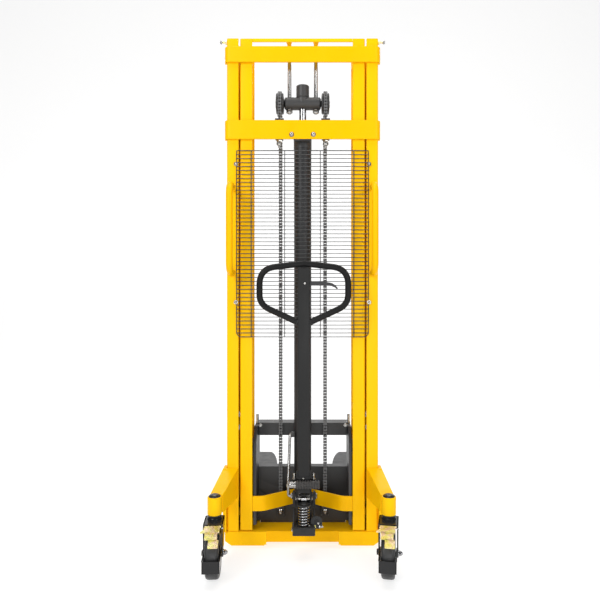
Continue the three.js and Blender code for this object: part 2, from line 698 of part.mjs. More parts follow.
function roller(size, z) {
  const length = size.far - size.near;
  const centre = [(size.near + size.far) / 2, POST_MID_Y, z];
  return ring("X", centre, size.pin + GAP, size.radius, length);
}

part("base_frame", baseFrame(), yellowPaint);
pair("base_leg", baseLeg(), yellowPaint);
pair("outer_post", channel(OUTER, BASE.high + GAP, MAST_TOP), yellowPaint);
part("top_cross_plate", crossPlate(TOP_PLATE), yellowPaint);
part("cylinder_cross_plate", cylinderPlate(), yellowPaint);
part("mesh_guard", meshGuard(), blackPaint);
pair("grab_bar", grabBar(), yellowPaint);
pair("caster_arm", casterArm(), yellowPaint);
part("lift_cylinder", liftCylinder(), blackPaint);
part("oil_pipe", oilPipe(), zinc);

part("pump_body", pumpBody(), blackPaint);
const pivotStart = [TILLER_X - PIVOT.half, PIVOT.y, PIVOT.z];
part("tiller_pivot_pin", bar("X", pivotStart, 2 * PIVOT.half, PIVOT.radius), chrome);
part("pump_piston", pumpPiston(), chrome);
const springMid = [TILLER_X, PISTON.y, (SPRING.low + SPRING.high) / 2];
const springSize = [SPRING.inner, SPRING.outer, SPRING.high - SPRING.low];
part("pump_spring", ring("Z", springMid, ...springSize), chrome);
part("valve_lever", valveLever(), blackPaint);

part("tiller", tiller(), blackPaint);
part("handle_loop", handleLoop(), blackPaint);
part("foot_pedal", footPedal(), rubber);
part("release_lever", releaseLever(), blackPaint);
part("pump_roller", ring("X", [TILLER_X, PISTON.y, PIVOT.z], 5.3, 12, 20), chrome);

part("piston_rod", pistonRod(), chrome);
part("crosshead", crosshead(), blackPaint);
for (const [side, name] of [[1, "right"], [-1, "left"]]) {
  part(`chain_wheel_${name}`, chainWheel(side), blackPaint);
  part(`chain_anchor_run_${name}`, anchorRun(side), darkSteel);
  part(`chain_load_run_${name}`, loadRun(side), darkSteel);
  caster(side, name);
}

pair("inner_post", innerPost(), yellowPaint);
part("inner_top_bar", topBar(), yellowPaint);
part("inner_crosspiece", crosspiece(), yellowPaint);
pair("guide_rod", guideRod(), chrome);
pair("mast_roller_lower", roller(MAST_ROLLER, MAST_ROLLER.heights[0]), darkSteel);
pair("mast_roller_upper", roller(MAST_ROLLER, MAST_ROLLER.heights[1]), darkSteel);

part("carriage_heel_plate", heelPlate(), blackPaint);
part("carriage_upper_bar", upperBar(), blackPaint);
pair("carriage_side", carriageSide(), blackPaint);
pair("fork", fork(), blackPaint);
pair("carriage_roller_lower", roller(CARRIAGE_ROLLER, CARRIAGE_ROLLER.heights[0]), darkSteel);
pair("carriage_roller_upper", roller(CARRIAGE_ROLLER, CARRIAGE_ROLLER.heights[1]), darkSteel);

const loadX = (LEG.in + LEG.out) / 2;
const loadCentre = [loadX, LOAD_ROLLER.y, LOAD_ROLLER.radius];
const loadSize = [LOAD_ROLLER.pin + GAP, LOAD_ROLLER.radius, 2 * LOAD_ROLLER.half];
pair("load_roller", ring("X", loadCentre, ...loadSize, 24), rubber);

const stacker = new THREE.Group();
stacker.add(truck);
export default stacker;
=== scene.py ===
"""Looks of the walkie stacker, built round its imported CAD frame."""

import json
import math
import random

import bmesh
import bpy
import numpy as np
from mathutils import Matrix, Vector


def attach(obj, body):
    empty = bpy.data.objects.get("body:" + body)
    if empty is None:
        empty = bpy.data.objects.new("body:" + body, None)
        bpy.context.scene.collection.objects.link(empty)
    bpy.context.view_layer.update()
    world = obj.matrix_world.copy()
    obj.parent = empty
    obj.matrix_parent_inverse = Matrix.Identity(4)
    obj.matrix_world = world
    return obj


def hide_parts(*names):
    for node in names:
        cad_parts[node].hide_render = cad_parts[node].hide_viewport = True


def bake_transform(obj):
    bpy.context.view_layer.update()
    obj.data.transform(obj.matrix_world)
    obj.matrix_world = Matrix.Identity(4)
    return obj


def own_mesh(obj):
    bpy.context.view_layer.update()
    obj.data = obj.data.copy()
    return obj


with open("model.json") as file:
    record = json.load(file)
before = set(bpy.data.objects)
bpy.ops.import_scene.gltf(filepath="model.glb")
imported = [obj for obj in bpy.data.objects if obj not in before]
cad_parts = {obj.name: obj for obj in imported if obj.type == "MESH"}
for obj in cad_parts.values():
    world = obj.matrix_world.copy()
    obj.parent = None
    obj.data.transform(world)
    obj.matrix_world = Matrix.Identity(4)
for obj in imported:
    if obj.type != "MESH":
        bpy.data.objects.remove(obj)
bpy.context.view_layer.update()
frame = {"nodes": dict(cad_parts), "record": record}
dice = random.Random(7)

# Millimetres in the mast's frame: Y is 0 at the rear face of the outer posts.
ORIGIN_Y = 391.6
MM = 0.001
SIDES = (("right", 1), ("left", -1))
PHOTO = {"width": 600, "shift": -10.6}
PITCH = 12.7
WHEEL_X, WHEEL_Z, RAM_Y = 94.5, 1831.3, 53.0
GUIDE_X = 55.0
ROLLER_HEIGHTS = {"mast": (("lower", 135.0), ("upper", 510.0)),
                  "carriage": (("lower", 135.0), ("upper", 400.0))}


def add_object(name, data):
    obj = bpy.data.objects.new(name, data)
    bpy.context.scene.collection.objects.link(obj)
    return obj


# ---- camera

def make_camera():
    data = bpy.data.cameras.new("camera")
    data.sensor_width = 36.0
    data.lens = 33.0
    data.clip_end = 60.0
    data.shift_x = PHOTO["shift"] / PHOTO["width"]
    camera = add_object("camera", data)
    camera.location = (0.033, -2.6336, 1.013)
    camera.rotation_euler = (math.radians(90), 0, 0)
    bpy.context.scene.camera = camera


make_camera()


# ---- materials

class Look:
    """A Principled material whose colour, roughness and bump come from procedural nodes."""

    def __init__(self, name, **sockets):
        self.material = bpy.data.materials.new(name)
        self.material.use_nodes = True
        self.tree = self.material.node_tree
        self.shader = self.tree.nodes["Principled BSDF"]
        for key, value in sockets.items():
            self.shader.inputs[key.replace("_", " ")].default_value = value
        self.where = self.node("ShaderNodeTexCoord").outputs["Object"]

    def node(self, kind, **settings):
        made = self.tree.nodes.new(kind)
        for key, value in settings.items():
            if hasattr(made, key):
                setattr(made, key, value)
            else:
                made.inputs[key].default_value = value
        return made

    def link(self, output, target):
        self.tree.links.new(output, target)

    def noise(self, scale, detail=3.0, roughness=0.5, stretch=None):
        made = self.node("ShaderNodeTexNoise", Scale=scale, Detail=detail, Roughness=roughness)
        source = self.where
        if stretch:
            mapping = self.node("ShaderNodeMapping", Scale=stretch)
            self.link(source, mapping.inputs["Vector"])
            source = mapping.outputs["Vector"]
        self.link(source, made.inputs["Vector"])
        return made.outputs["Fac"]

    def ramp(self, source, *stops):
        made = self.node("ShaderNodeValToRGB")
        elements = made.color_ramp.elements
        while len(elements) < len(stops):
            elements.new(0.5)
        for element, (place, value) in zip(elements, stops):
            element.position = place
            tone = value if isinstance(value, tuple) else (value,) * 3
            element.color = (*tone, 1.0)
        self.link(source, made.inputs["Fac"])
        return made.outputs["Color"]

    def mix(self, share, first, second, blend="MIX"):
        made = self.node("ShaderNodeMix", data_type="RGBA", blend_type=blend)
        for value, key in ((share, 0), (first, 6), (second, 7)):
            if isinstance(value, (int, float)):
                made.inputs[key].default_value = value
            elif isinstance(value, tuple):
                made.inputs[key].default_value = (*value, 1.0)
            else:
                self.link(value, made.inputs[key])
        return made.outputs[2]

    def edges(self, low, high):
        """0 on flat faces, rising to 1 on outer edges."""
        geometry = self.node("ShaderNodeNewGeometry")
        return self.ramp(geometry.outputs["Pointiness"], (low, 0.0), (high, 1.0))

    def bump(self, height, strength, distance):
        made = self.node("ShaderNodeBump", Strength=strength, Distance=distance)
        self.link(height, made.inputs["Height"])
        self.link(made.outputs["Normal"], self.shader.inputs["Normal"])

    def color(self, output):
        self.link(output, self.shader.inputs["Base Color"])

    def rough(self, output):
        self.link(output, self.shader.inputs["Roughness"])


def paint(name, tone, pale, worn, rough, peel=0.12, coat=0.0, shine=0.45):
    """Powder coat: slight cloudiness, orange-peel bump, paler where it thins on edges."""
    look = Look(name, Specular_IOR_Level=shine, Coat_Weight=coat, Coat_Roughness=0.12)
    cloud = look.ramp(look.noise(7.0, 4.0), (0.3, tone), (0.75, pale))
    speck = look.ramp(look.noise(1400.0, 1.0), (0.35, 0.94), (0.6, 1.0))
    body = look.mix(1.0, cloud, speck, "MULTIPLY")
    look.color(look.mix(look.edges(0.515, 0.6), body, worn))
    smear = look.noise(30.0, 5.0, stretch=(1.0, 1.0, 0.3))
    look.rough(look.ramp(smear, (0.3, rough - 0.06), (0.75, rough + 0.09)))
    look.bump(look.noise(750.0, 2.0), peel, 0.0006)
    return look.material


def metal(name, tone, pale, rough, brushed=None, tint=None):
    """Bare or plated steel, with fine lines across or along it."""
    look = Look(name, Metallic=1.0)
    cloud = look.ramp(look.noise(40.0, 4.0), (0.3, tone), (0.7, pale))
    if tint:
        cloud = look.mix(look.ramp(look.noise(55.0, 2.0), (0.45, 0.0), (0.62, 0.8)), cloud, tint)
    look.color(cloud)
    lines = look.noise(420.0, 3.0, 0.6, stretch=brushed or (1.0, 1.0, 1.0))
    look.rough(look.ramp(lines, (0.3, rough * 0.75), (0.7, rough * 1.35)))
    look.bump(lines, 0.05, 0.0004)
    return look.material


def moulded(name, tone, pale, rough, grain=900.0, depth=0.25):
    """Rubber or plastic with a fine moulded grain and a little dust."""
    look = Look(name, Specular_IOR_Level=0.4)
    dust = look.ramp(look.noise(22.0, 6.0, 0.65), (0.4, tone), (0.8, pale))
    look.color(dust)
    look.rough(look.ramp(look.noise(60.0, 4.0), (0.3, rough - 0.08), (0.7, rough + 0.1)))
    look.bump(look.noise(grain, 2.0), depth, 0.0005)
    return look.material


LOOKS = {
    "yellow": (paint("yellow_paint", (0.93, 0.47, 0.0), (0.96, 0.5, 0.0),
                     (1.0, 0.6, 0.005), 0.38, shine=0.08), "yellow_paint"),
    "black": (paint("black_paint", (0.022, 0.022, 0.023), (0.03, 0.03, 0.031),
                    (0.06, 0.06, 0.06), 0.42, 0.2, shine=0.3), "black_paint"),
    "satin": (paint("satin_black", (0.01, 0.01, 0.01), (0.015, 0.015, 0.015),
                    (0.04, 0.04, 0.04), 0.4, 0.2, shine=0.1), "black_paint"),
    "gloss": (paint("gloss_black", (0.01, 0.01, 0.011), (0.015, 0.015, 0.016),
                    (0.04, 0.04, 0.04), 0.2, 0.05, 0.15, shine=0.2), "black_paint"),
    "cast": (paint("cast_black", (0.012, 0.012, 0.012), (0.022, 0.022, 0.022),
                   (0.05, 0.05, 0.05), 0.42, 0.5, shine=0.15), "black_paint"),
    "wire": (paint("guard_wire", (0.02, 0.02, 0.02), (0.035, 0.035, 0.035),
                   (0.05, 0.05, 0.05), 0.4, 0.1), "black_paint"),
    "chrome": (metal("chrome", (0.36, 0.365, 0.375), (0.46, 0.46, 0.47), 0.14,
                     (1.0, 1.0, 0.1)), "chrome"),
    "zinc": (metal("zinc_steel", (0.34, 0.33, 0.31), (0.48, 0.47, 0.45), 0.26,
                   (1.0, 1.0, 0.3)), "zinc_steel"),
    "gold": (metal("gold_zinc", (0.74, 0.66, 0.13), (0.84, 0.8, 0.36), 0.3, None,
                   (0.84, 0.64, 0.52)), "gold_zinc"),
    "rod": (metal("drawn_steel", (0.26, 0.255, 0.25), (0.38, 0.375, 0.37), 0.28,
                  (1.0, 1.0, 0.12)), "zinc_steel"),
    "chain": (paint("chain_steel", (0.03, 0.03, 0.031), (0.055, 0.055, 0.057),
                    (0.12, 0.12, 0.12), 0.34, 0.2), "chain_steel"),
    "pin": (metal("chain_pin", (0.09, 0.09, 0.092), (0.15, 0.15, 0.152), 0.36), "chain_steel"),
    "race": (metal("roller_steel", (0.2, 0.2, 0.205), (0.34, 0.34, 0.35), 0.28,
                   (1.0, 1.0, 1.0)), "roller_steel"),
    "rubber": (moulded("pedal_rubber", (0.03, 0.028, 0.027), (0.065, 0.058, 0.055), 0.45),
               "pedal_rubber"),
    "tread": (moulded("wheel_tread", (0.016, 0.016, 0.017), (0.04, 0.04, 0.04), 0.42, 500.0),
              "wheel_tread"),
}
CAD_LOOKS = {"yellow_paint": "yellow", "black_paint": "black", "chrome": "chrome",
             "zinc_steel": "zinc", "gold_zinc": "gold", "pedal_rubber": "rubber",
             "wheel_tread": "tread", "chain_steel": "chain", "roller_steel": "race"}


# ---- shapes: each is a list of points and a list of faces

ALONG = {"X": (1, 2, 0), "Y": (2, 0, 1), "Z": (0, 1, 2)}
PLANE = {"XY": (0, 1, 2), "YZ": (1, 2, 0), "XZ": (0, 2, 1)}


def band(first, second):
    """Faces between two rings of point numbers; a ring of one point is a pole."""
    n = max(len(first), len(second))
    if n == 1:
        return []
    if len(first) == 1:
        return [(first[0], second[(i + 1) % n], second[i]) for i in range(n)]
    if len(second) == 1:
        return [(first[i], first[(i + 1) % n], second[0]) for i in range(n)]
    return [(first[i], first[(i + 1) % n], second[(i + 1) % n], second[i]) for i in range(n)]


def lathe(axis, centre, profile, sides=40, loop=False, turn=0.0):
    """A solid of revolution: [radius, distance] pairs about an axis through centre."""
    order = ALONG[axis]
    points, rings = [], []
    for radius, height in profile:
        count = 1 if radius < 1e-6 else sides
        rings.append(list(range(len(points), len(points) + count)))
        for i in range(count):
            angle = turn + 2 * math.pi * i / sides
            p = list(centre)
            p[order[0]] += radius * math.cos(angle)
            p[order[1]] += radius * math.sin(angle)
            p[order[2]] += height
            points.append(p)
    faces = []
    for a, b in zip(rings, rings[1:] + (rings[:1] if loop else [])):
        faces += band(a, b)
    return points, faces


def rod(axis, start, length, radius, sides=32, chamfer=0.8):
    c = min(chamfer, radius * 0.4, abs(length) * 0.4)
    end = c if length > 0 else -c
    profile = [(0, 0), (radius - c, 0), (radius, end), (radius, length - end),
               (radius - c, length), (0, length)]
    return lathe(axis, start, profile, sides)


def tube(axis, centre, inner, outer, low, high, sides=32):
    """A straight ring between two distances along the axis."""
    return lathe(axis, centre, [(inner, low), (outer, low), (outer, high), (inner, high)], sides,
                 loop=True)


def hexagon(axis, start, height, radius, turn=0.0):
    """A nut or bolt head."""
    return lathe(axis, start, [(0, 0), (radius * 0.93, 0), (radius, height * 0.12),
                               (radius, height * 0.88), (radius * 0.9, height), (0, height)],
                 6, turn=turn)


def dome(axis, start, height, radius, sides=32):
    profile = [(0, 0), (radius, 0)]
    for i in range(1, 8):
        angle = math.pi / 2 * i / 8
        profile.append((radius * math.cos(angle), height * math.sin(angle)))
    return lathe(axis, start, profile + [(0, height)], sides)


def hoop(axis, centre, radius, thick, sides=40, around=10):
    """A ring of round section, such as a weld bead."""
    profile = [(radius + thick * math.cos(2 * math.pi * i / around),
                thick * math.sin(2 * math.pi * i / around)) for i in range(around)]
    return lathe(axis, centre, profile, sides, loop=True)


def prism(plane, outline, low, high):
    order = PLANE[plane]
    n = len(outline)
    points = []
    for level in (low, high):
        for u, v in outline:
            p = [0.0, 0.0, 0.0]
            p[order[0]], p[order[1]], p[order[2]] = u, v, level
            points.append(p)
    ends = [tuple(range(n)), tuple(range(2 * n - 1, n - 1, -1))]
    return points, ends + band(list(range(n)), list(range(n, 2 * n)))


def rect(u0, u1, v0, v1):
    return [(u0, v0), (u1, v0), (u1, v1), (u0, v1)]


def block(x0, x1, y0, y1, z0, z1):
    return prism("XY", rect(x0, x1, y0, y1), z0, z1)


def unit(v):
    v = np.asarray(v, float)
    return v / np.linalg.norm(v)


def corner(before, point, after, radius, steps):
    """Points of the arc that rounds a corner of an outline or a path."""
    p = np.array(point, float)
    a, b = np.array(before, float) - p, np.array(after, float) - p
    la, lb = np.linalg.norm(a), np.linalg.norm(b)
    a, b = a / la, b / lb
    half = math.acos(max(-1.0, min(1.0, float(a @ b)))) / 2
    if half > 1.55 or radius <= 0:
        return [p]
    reach = min(radius / math.tan(half), 0.49 * la, 0.49 * lb)
    real = reach * math.tan(half)
    centre = p + unit(a + b) * (real / math.sin(half))
    start, end = p + a * reach - centre, p + b * reach - centre
    sweep_angle = math.pi - 2 * half
    return [centre + (start * math.sin((1 - k / steps) * sweep_angle)
                      + end * math.sin(k / steps * sweep_angle)) / math.sin(sweep_angle)
            for k in range(steps + 1)]


def rounded(outline, radius, steps=5):
    """A closed outline with its corners rounded, by one radius or one for each corner."""
    radii = radius if isinstance(radius, (list, tuple)) else [radius] * len(outline)
    made = []
    for i, (point, r) in enumerate(zip(outline, radii)):
        made += corner(outline[i - 1], point, outline[(i + 1) % len(outline)], r, steps)
    return [tuple(float(c) for c in p) for p in made]


def bent(points, radius, steps=8):
    """An open path with its corners rounded."""
    made = [np.array(points[0], float)]
    for before, point, after in zip(points, points[1:], points[2:]):
        made += corner(before, point, after, radius, steps)
    return made + [np.array(points[-1], float)]


def circle(radius, sides=20):
    return [(radius * math.cos(2 * math.pi * i / sides),
             radius * math.sin(2 * math.pi * i / sides)) for i in range(sides)]


def sweep(path, section, closed=False, up=(0.0, 0.0, 1.0)):
    """A section carried along a path without twisting."""
    path = np.array(path, float)
    n, m = len(path), len(section)
    if closed:
        tangents = np.roll(path, -1, 0) - np.roll(path, 1, 0)
    else:
        tangents = np.vstack([path[1] - path[0], path[2:] - path[:-2], path[-1] - path[-2]])
    normal = np.array(up, float)
    points, faces = [], []
    for p, t in zip(path, tangents):
        t = unit(t)
        if abs(normal @ t) > 0.999:
            normal = np.array((t[1], t[2], t[0]))
        normal = unit(normal - (normal @ t) * t)
        side = np.cross(t, normal)
        points += [p + side * u + normal * v for u, v in section]
    rings = [list(range(i * m, i * m + m)) for i in range(n)]
    for a, b in zip(rings, rings[1:] + (rings[:1] if closed else [])):
        faces += band(a, b)
    if not closed:
        faces += [tuple(rings[0]), tuple(reversed(rings[-1]))]
    return points, faces


def hull(*corners):
    """A box with eight given corners: the lower four in order, then the upper four."""
    return list(corners), [(0, 1, 2, 3), (7, 6, 5, 4), *band([0, 1, 2, 3], [4, 5, 6, 7])]


class Form:
    """Shapes gathered into one piece."""

    def __init__(self, *shapes):
        self.points, self.faces = [], []
        self.add(*shapes)

    def add(self, *shapes):
        for points, faces in shapes:
            base = len(self.points)
            self.points += [tuple(float(c) for c in p) for p in points]
            self.faces += [tuple(i + base for i in f) for f in faces]
        return self

    def mirrored(self, side):
        if side < 0:
            self.points = [(-x, y, z) for x, y, z in self.points]
        return self

    def placed(self, place):
        """The same form moved by a matrix in millimetres."""
        self.points = [tuple(place @ Vector(p)) for p in self.points]
        return self


# ---- pieces

def dress(obj, bevel, segments=2, angle=35):
    """Rounds the piece's hard edges."""
    if bevel:
        mod = obj.modifiers.new("edges", "BEVEL")
        mod.width = bevel * MM
        mod.segments = segments
        mod.limit_method = "ANGLE"
        mod.angle_limit = math.radians(angle)
        mod.use_clamp_overlap = True
        mod.harden_normals = True


def smooth(mesh):
    mesh.polygons.foreach_set("use_smooth", [True] * len(mesh.polygons))


def mesh_of(name, form):
    mesh = bpy.data.meshes.new(name)
    points = (np.array(form.points) - (0, ORIGIN_Y, 0)) * MM
    mesh.from_pydata(points.tolist(), [], form.faces)
    work = bmesh.new()
    work.from_mesh(mesh)
    bmesh.ops.recalc_face_normals(work, faces=work.faces)
    work.to_mesh(mesh)
    work.free()
    return mesh


def piece(name, form, look, body, replaces=(), bevel=0.0, segments=2, angle=35):
    """A new piece that rides on a CAD body."""
    mesh = mesh_of(name, form)
    material, slot = LOOKS[look]
    mesh.materials.append(material)
    smooth(mesh)
    mesh.set_sharp_from_angle(angle=math.radians(angle))
    obj = add_object(name, mesh)
    dress(obj, bevel, segments, angle)
    if body:
        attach(obj, body)
    if replaces:
        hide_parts(*([replaces] if isinstance(replaces, str) else replaces))
    return obj


def carry_over():
    """CAD nodes whose shape is right: joined faces, rounded edges and a finish."""
    slots = {s["node"]: s["material_slot"] for s in frame["record"]["subparts"]}
    for node, obj in frame["nodes"].items():
        obj.data.materials.clear()
        obj.data.materials.append(LOOKS[CAD_LOOKS[slots[node]]][0])
        weld = obj.modifiers.new("joined", "WELD")
        weld.merge_threshold = 0.00002
        flat = obj.modifiers.new("flat", "DECIMATE")
        flat.decimate_type = "DISSOLVE"
        flat.angle_limit = math.radians(1.0)
        dress(obj, EDGE.get(node.replace("_right", "").replace("_left", ""), 1.0), 3)


EDGE = {"base_frame": 4.0, "base_leg": 2.0, "fork": 2.5,
        "carriage_upper_bar": 2.5, "carriage_heel_plate": 1.5, "carriage_side": 1.2}
carry_over()


# ---- mast

MAST_TOP = 2080.0
OUTER = {"near": 261.0, "far": 309.0, "rear": 0.0, "front": 100.0, "web": 9.0, "flange": 10.0}
INNER = {"near": 205.0, "far": 255.0, "rear": 2.0, "front": 98.0, "web": 9.0, "flange": 9.0}


def channel(size, low, high):
    """A rolled channel with round outer corners, open towards the middle of the truck."""
    near, far, rear, front = (size[k] for k in ("near", "far", "rear", "front"))
    web, flange = size["web"], size["flange"]
    outline = [(near, rear), (far, rear), (far, front), (near, front), (near, front - flange),
               (far - web, front - flange), (far - web, rear + flange), (near, rear + flange)]
    return prism("XY", rounded(outline, [2.5, 8.0, 8.0, 2.5, 3.5, 4.0, 4.0, 3.5]), low, high)


def posts():
    for name, side in SIDES:
        outer = Form(channel(OUTER, 70.3, MAST_TOP)).mirrored(side)
        piece(f"mast_post_outer_{name}", outer, "yellow", "chassis", f"outer_post_{name}", 1.2)
        inner = Form(channel(INNER, 73.0, MAST_TOP))
        for _, z in ROLLER_HEIGHTS["mast"]:
            inner.add(rod("X", (254, 50, z), 9.7, 17.0), rod("X", (254, 50, z), 41.0, 12.0))
        piece(f"mast_post_inner_{name}", inner.mirrored(side), "yellow", "inner_mast",
              f"inner_post_{name}", 1.2)
        weld = Form(hull((310, 8, 70), (316, 8, 70), (316, 60, 70), (310, 60, 70),
                         (309.5, 8, 76), (310, 8, 76), (310, 60, 76), (309.5, 60, 76)))
        piece(f"post_foot_weld_{name}", weld.mirrored(side), "yellow", "chassis", (), 1.5)


def cross_plate(name, node, low, high):
    """A flat bar whose ends are pressed round the posts."""
    reach, inside, rear, wrap = 318.0, 309.3, -10.3, 20.0
    arc = [(reach - 24 + 24 * math.sin(a), rear + 24 - 24 * math.cos(a))
           for a in np.linspace(0, math.pi / 2, 9)]
    right = [(200.0, rear), *arc, (reach, wrap), (inside, wrap), (inside, -0.3)]
    outline = right + [(-x, y) for x, y in reversed(right)]
    return piece(name, Form(prism("XY", outline, low, high)), "yellow", "chassis", node, 1.6, 3)


def mast_fasteners():
    zinc = Form()
    for x in (-44.0, 44.0):
        zinc.add(rod("Y", (x, -10.0, 1685), -2.2, 10.5), dome("Y", (x, -12.0, 1685), -6.0, 9.0))
    for x in (-WHEEL_X, WHEEL_X):
        zinc.add(hexagon("Z", (x, 8, 1646), 9, 11.5), hexagon("Z", (x, 8, 1656), 10.5, 12.0, 0.4),
                 rod("Z", (x, 8, 1636), 14, 6.0))
        zinc.add(hoop("Y", (x, -2, 1650), 8.5, 3.2, 28))
    piece("plate_fasteners", zinc, "zinc", "chassis")
    for name, side in SIDES:
        screw = Form(rod("X", (305, 14, 2069), 29, 4.5), hexagon("X", (309.4, 14, 2069), 7, 9.0))
        piece(f"post_screw_{name}", screw.mirrored(side), "gold", "chassis")
        tip = Form(dome("X", (333.5, 14, 2069), 5.5, 7.5), rod("X", (328, 14, 2069), 6, 7.5))
        piece(f"post_screw_tip_{name}", tip.mirrored(side), "zinc", "chassis")


def chain_anchor():
    """Blocks and studs on the lower cross plate that hold the fixed ends of the chains."""
    form = Form(block(-36, 36, -8, 14, 1661.5, 1667.5))
    for x in (-WHEEL_X, WHEEL_X):
        form.add(block(x - 16, x + 16, -2, 17, 1667, 1679), rod("Z", (x, 8, 1667), 78, 6.0),
                 block(x - 18, x + 18, 2, 14, 1745, 1754.6))
    piece("chain_anchor_studs", form, "black", "chassis", (), 0.8)


def top_bar():
    """Strip between the inner posts' tops, with a tapered lug for each guide rod."""
    half, low, high = 204.7, 2067, 2080
    form = Form(prism("XZ", rect(-half, half, low, high), 2, 8))
    for x in (-GUIDE_X, GUIDE_X):
        plan = [(x - 12, 7), (x + 12, 7), (x + 8.5, 31), (x + 8.5, 66), (x - 8.5, 66),
                (x - 8.5, 31)]
        form.add(prism("XY", plan, low, high - 0.2))
        form.add(tube("Z", (x, 53, 0), 5.3, 8.3, 2066.2, low))
    piece("mast_top_bar", form, "yellow", "inner_mast", "inner_top_bar", 1.0)


def crosspiece():
    """Flat bar between the feet of the inner posts, bowed forward round the cylinder."""
    half, rear, thick = 204.7, 5.0, 9.0
    line = [(half, rear + thick / 2), (163, rear + thick / 2), (34, 97.5), (0, 101)]
    path = [(x, y, 180.0) for x, y in line] + [(-x, y, 180.0) for x, y in reversed(line[:-1])]
    line = bent(path, 60.0, 10)
    section = [(thick / 2, -30), (thick / 2, 30), (-thick / 2, 30), (-thick / 2, -30)]
    piece("mast_crosspiece", Form(sweep(line, section)), "yellow", "inner_mast",
          "inner_crosspiece", 1.2, 3)


def mesh_guard():
    """Welded wire guard: fine wires across, on a frame with round lower corners."""
    low, high, half, rows, wire = 863.0, 1621.0, 268.5, 47, 1.6
    form = Form()
    loop = [(-half, -2.1, high), (-half, -2.1, low), (half, -2.1, low), (half, -2.1, high)]
    form.add(sweep(bent(loop, 20.0), circle(wire, 10), up=(0, 1, 0)))
    form.add(sweep([(-half, -2.1, high), (half, -2.1, high)], circle(wire, 10)))
    for x in (-209.0, -72.5, 72.5, 209.0):
        form.add(sweep([(x, -2.0, low - 1), (x, -2.0, high + 1)], circle(1.7, 8), up=(0, 1, 0)))
    for row in range(rows + 1):
        z = low + (high - low) * row / rows
        reach = half + 2.2 if 0 < row < rows else half - 12
        sag = dice.uniform(-0.7, 0.7)
        form.add(sweep([(-reach, -4.3, z), (0, -4.4, z + sag), (reach, -4.3, z)],
                       circle(wire, 8)))
    piece("guard_wires", form, "wire", "chassis", "mesh_guard")
    screws = Form()
    for z in (1566.0, 1004.0):
        for x in (-271.0, 271.0):
            screws.add(rod("Y", (x, -5.4, z), -1.4, 8.5), rod("Y", (x, -0.5, z), -7, 4.0),
                       dome("Y", (x, -6.8, z), -4.2, 5.6))
    piece("guard_screws", screws, "zinc", "chassis")


def grab_bars():
    for name, side in SIDES:
        x, low, high, reach, radius = 286.0, 1124.0, 1472.0, 86.0, 13.5
        points = [(x, -0.3, high), (x, -reach, high), (x, -reach, low), (x, -0.3, low)]
        form = Form(sweep(bent(points, 46.0, 14), circle(radius, 28), up=(1, 0, 0)))
        for z in (low, high):
            form.add(hoop("Y", (x, -2.2, z), radius + 1.2, 2.4, 32))
        piece(f"grab_handle_{name}", form.mirrored(side), "yellow", "chassis",
              f"grab_bar_{name}")


posts()
cross_plate("plate_top", "top_cross_plate", 1980.0, 2044.0)
cross_plate("plate_lower", "cylinder_cross_plate", 1667.0, 1744.0)
mast_fasteners()
chain_anchor()
top_bar()
crosspiece()
mesh_guard()
grab_bars()


# ---- lift cylinder, crosshead and chains

def lift():
    profile = [(0, 70.3), (42, 70.3), (42, 82.3), (36, 84), (36, 1640), (37.2, 1641),
               (37.2, 1688.5), (35.6, 1690), (20, 1690), (19, 1693), (15.4, 1693), (15.4, 1600),
               (0, 1600)]
    form = Form(lathe("Z", (0, RAM_Y, 0), profile, 64))
    for angle in (0, 90, 180, 270):
        a = math.radians(angle + 30)
        form.add(rod("Z", (27 * math.cos(a), RAM_Y + 27 * math.sin(a), 1689), 2.5, 3.5))
    form.add(rod("X", (-33, 30, 458), -6, 11.0), hexagon("X", (-38, 30, 458), -9, 12.0))
    piece("cylinder_barrel", form, "black", "chassis", "lift_cylinder", 0.0)
    ram = Form(lathe("Z", (0, RAM_Y, 0), [(0, 112), (29, 112), (29, 150), (15, 150),
                                           (15, 1805.2), (0, 1805.2)], 48))
    piece("ram_rod", ram, "chrome", "ram", "piston_rod")


def crosshead():
    half, radius = 76.0, 26.0
    profile = [(0, -half), (radius - 8, -half), (radius, -half + 5), (radius, half - 5),
               (radius - 8, half), (0, half)]
    form = Form(lathe("X", (0, RAM_Y, WHEEL_Z), profile, 56))
    pole = [(0, 0), (27, 0), (27, 71.2), (25.5, 72.7), (21, 72.7), (20, 69), (0, 69)]
    form.add(lathe("Z", (0, RAM_Y, WHEEL_Z), pole, 56))
    form.add(hoop("Z", (0, RAM_Y, WHEEL_Z + 24), 27.5, 2.2, 48))
    form.add(rod("X", (-113, RAM_Y, WHEEL_Z), 226, 12.0))
    piece("lift_crosshead", form, "black", "ram", "crosshead")
    for name, side in SIDES:
        turned = [(12.3, -16.5), (30, -16.5), (41, -15), (42.5, -12.5), (42.5, -10.5), (38.7, -9),
                  (38.7, 9), (42.5, 10.5), (42.5, 12.5), (41, 15), (30, 16.5), (22, 16.5),
                  (20, 14.5), (12.3, 14.5)]
        wheel = Form(lathe("X", (side * WHEEL_X, RAM_Y, WHEEL_Z), turned, 56, loop=True))
        piece(f"chain_pulley_{name}", wheel, "black", f"chain_wheel_{name}",
              f"chain_wheel_{name}")
        clip = Form(tube("X", (side * (WHEEL_X + 17.5), RAM_Y, WHEEL_Z), 12, 17, -0.8, 0.8))
        piece(f"pulley_clip_{name}", clip, "zinc", "ram")


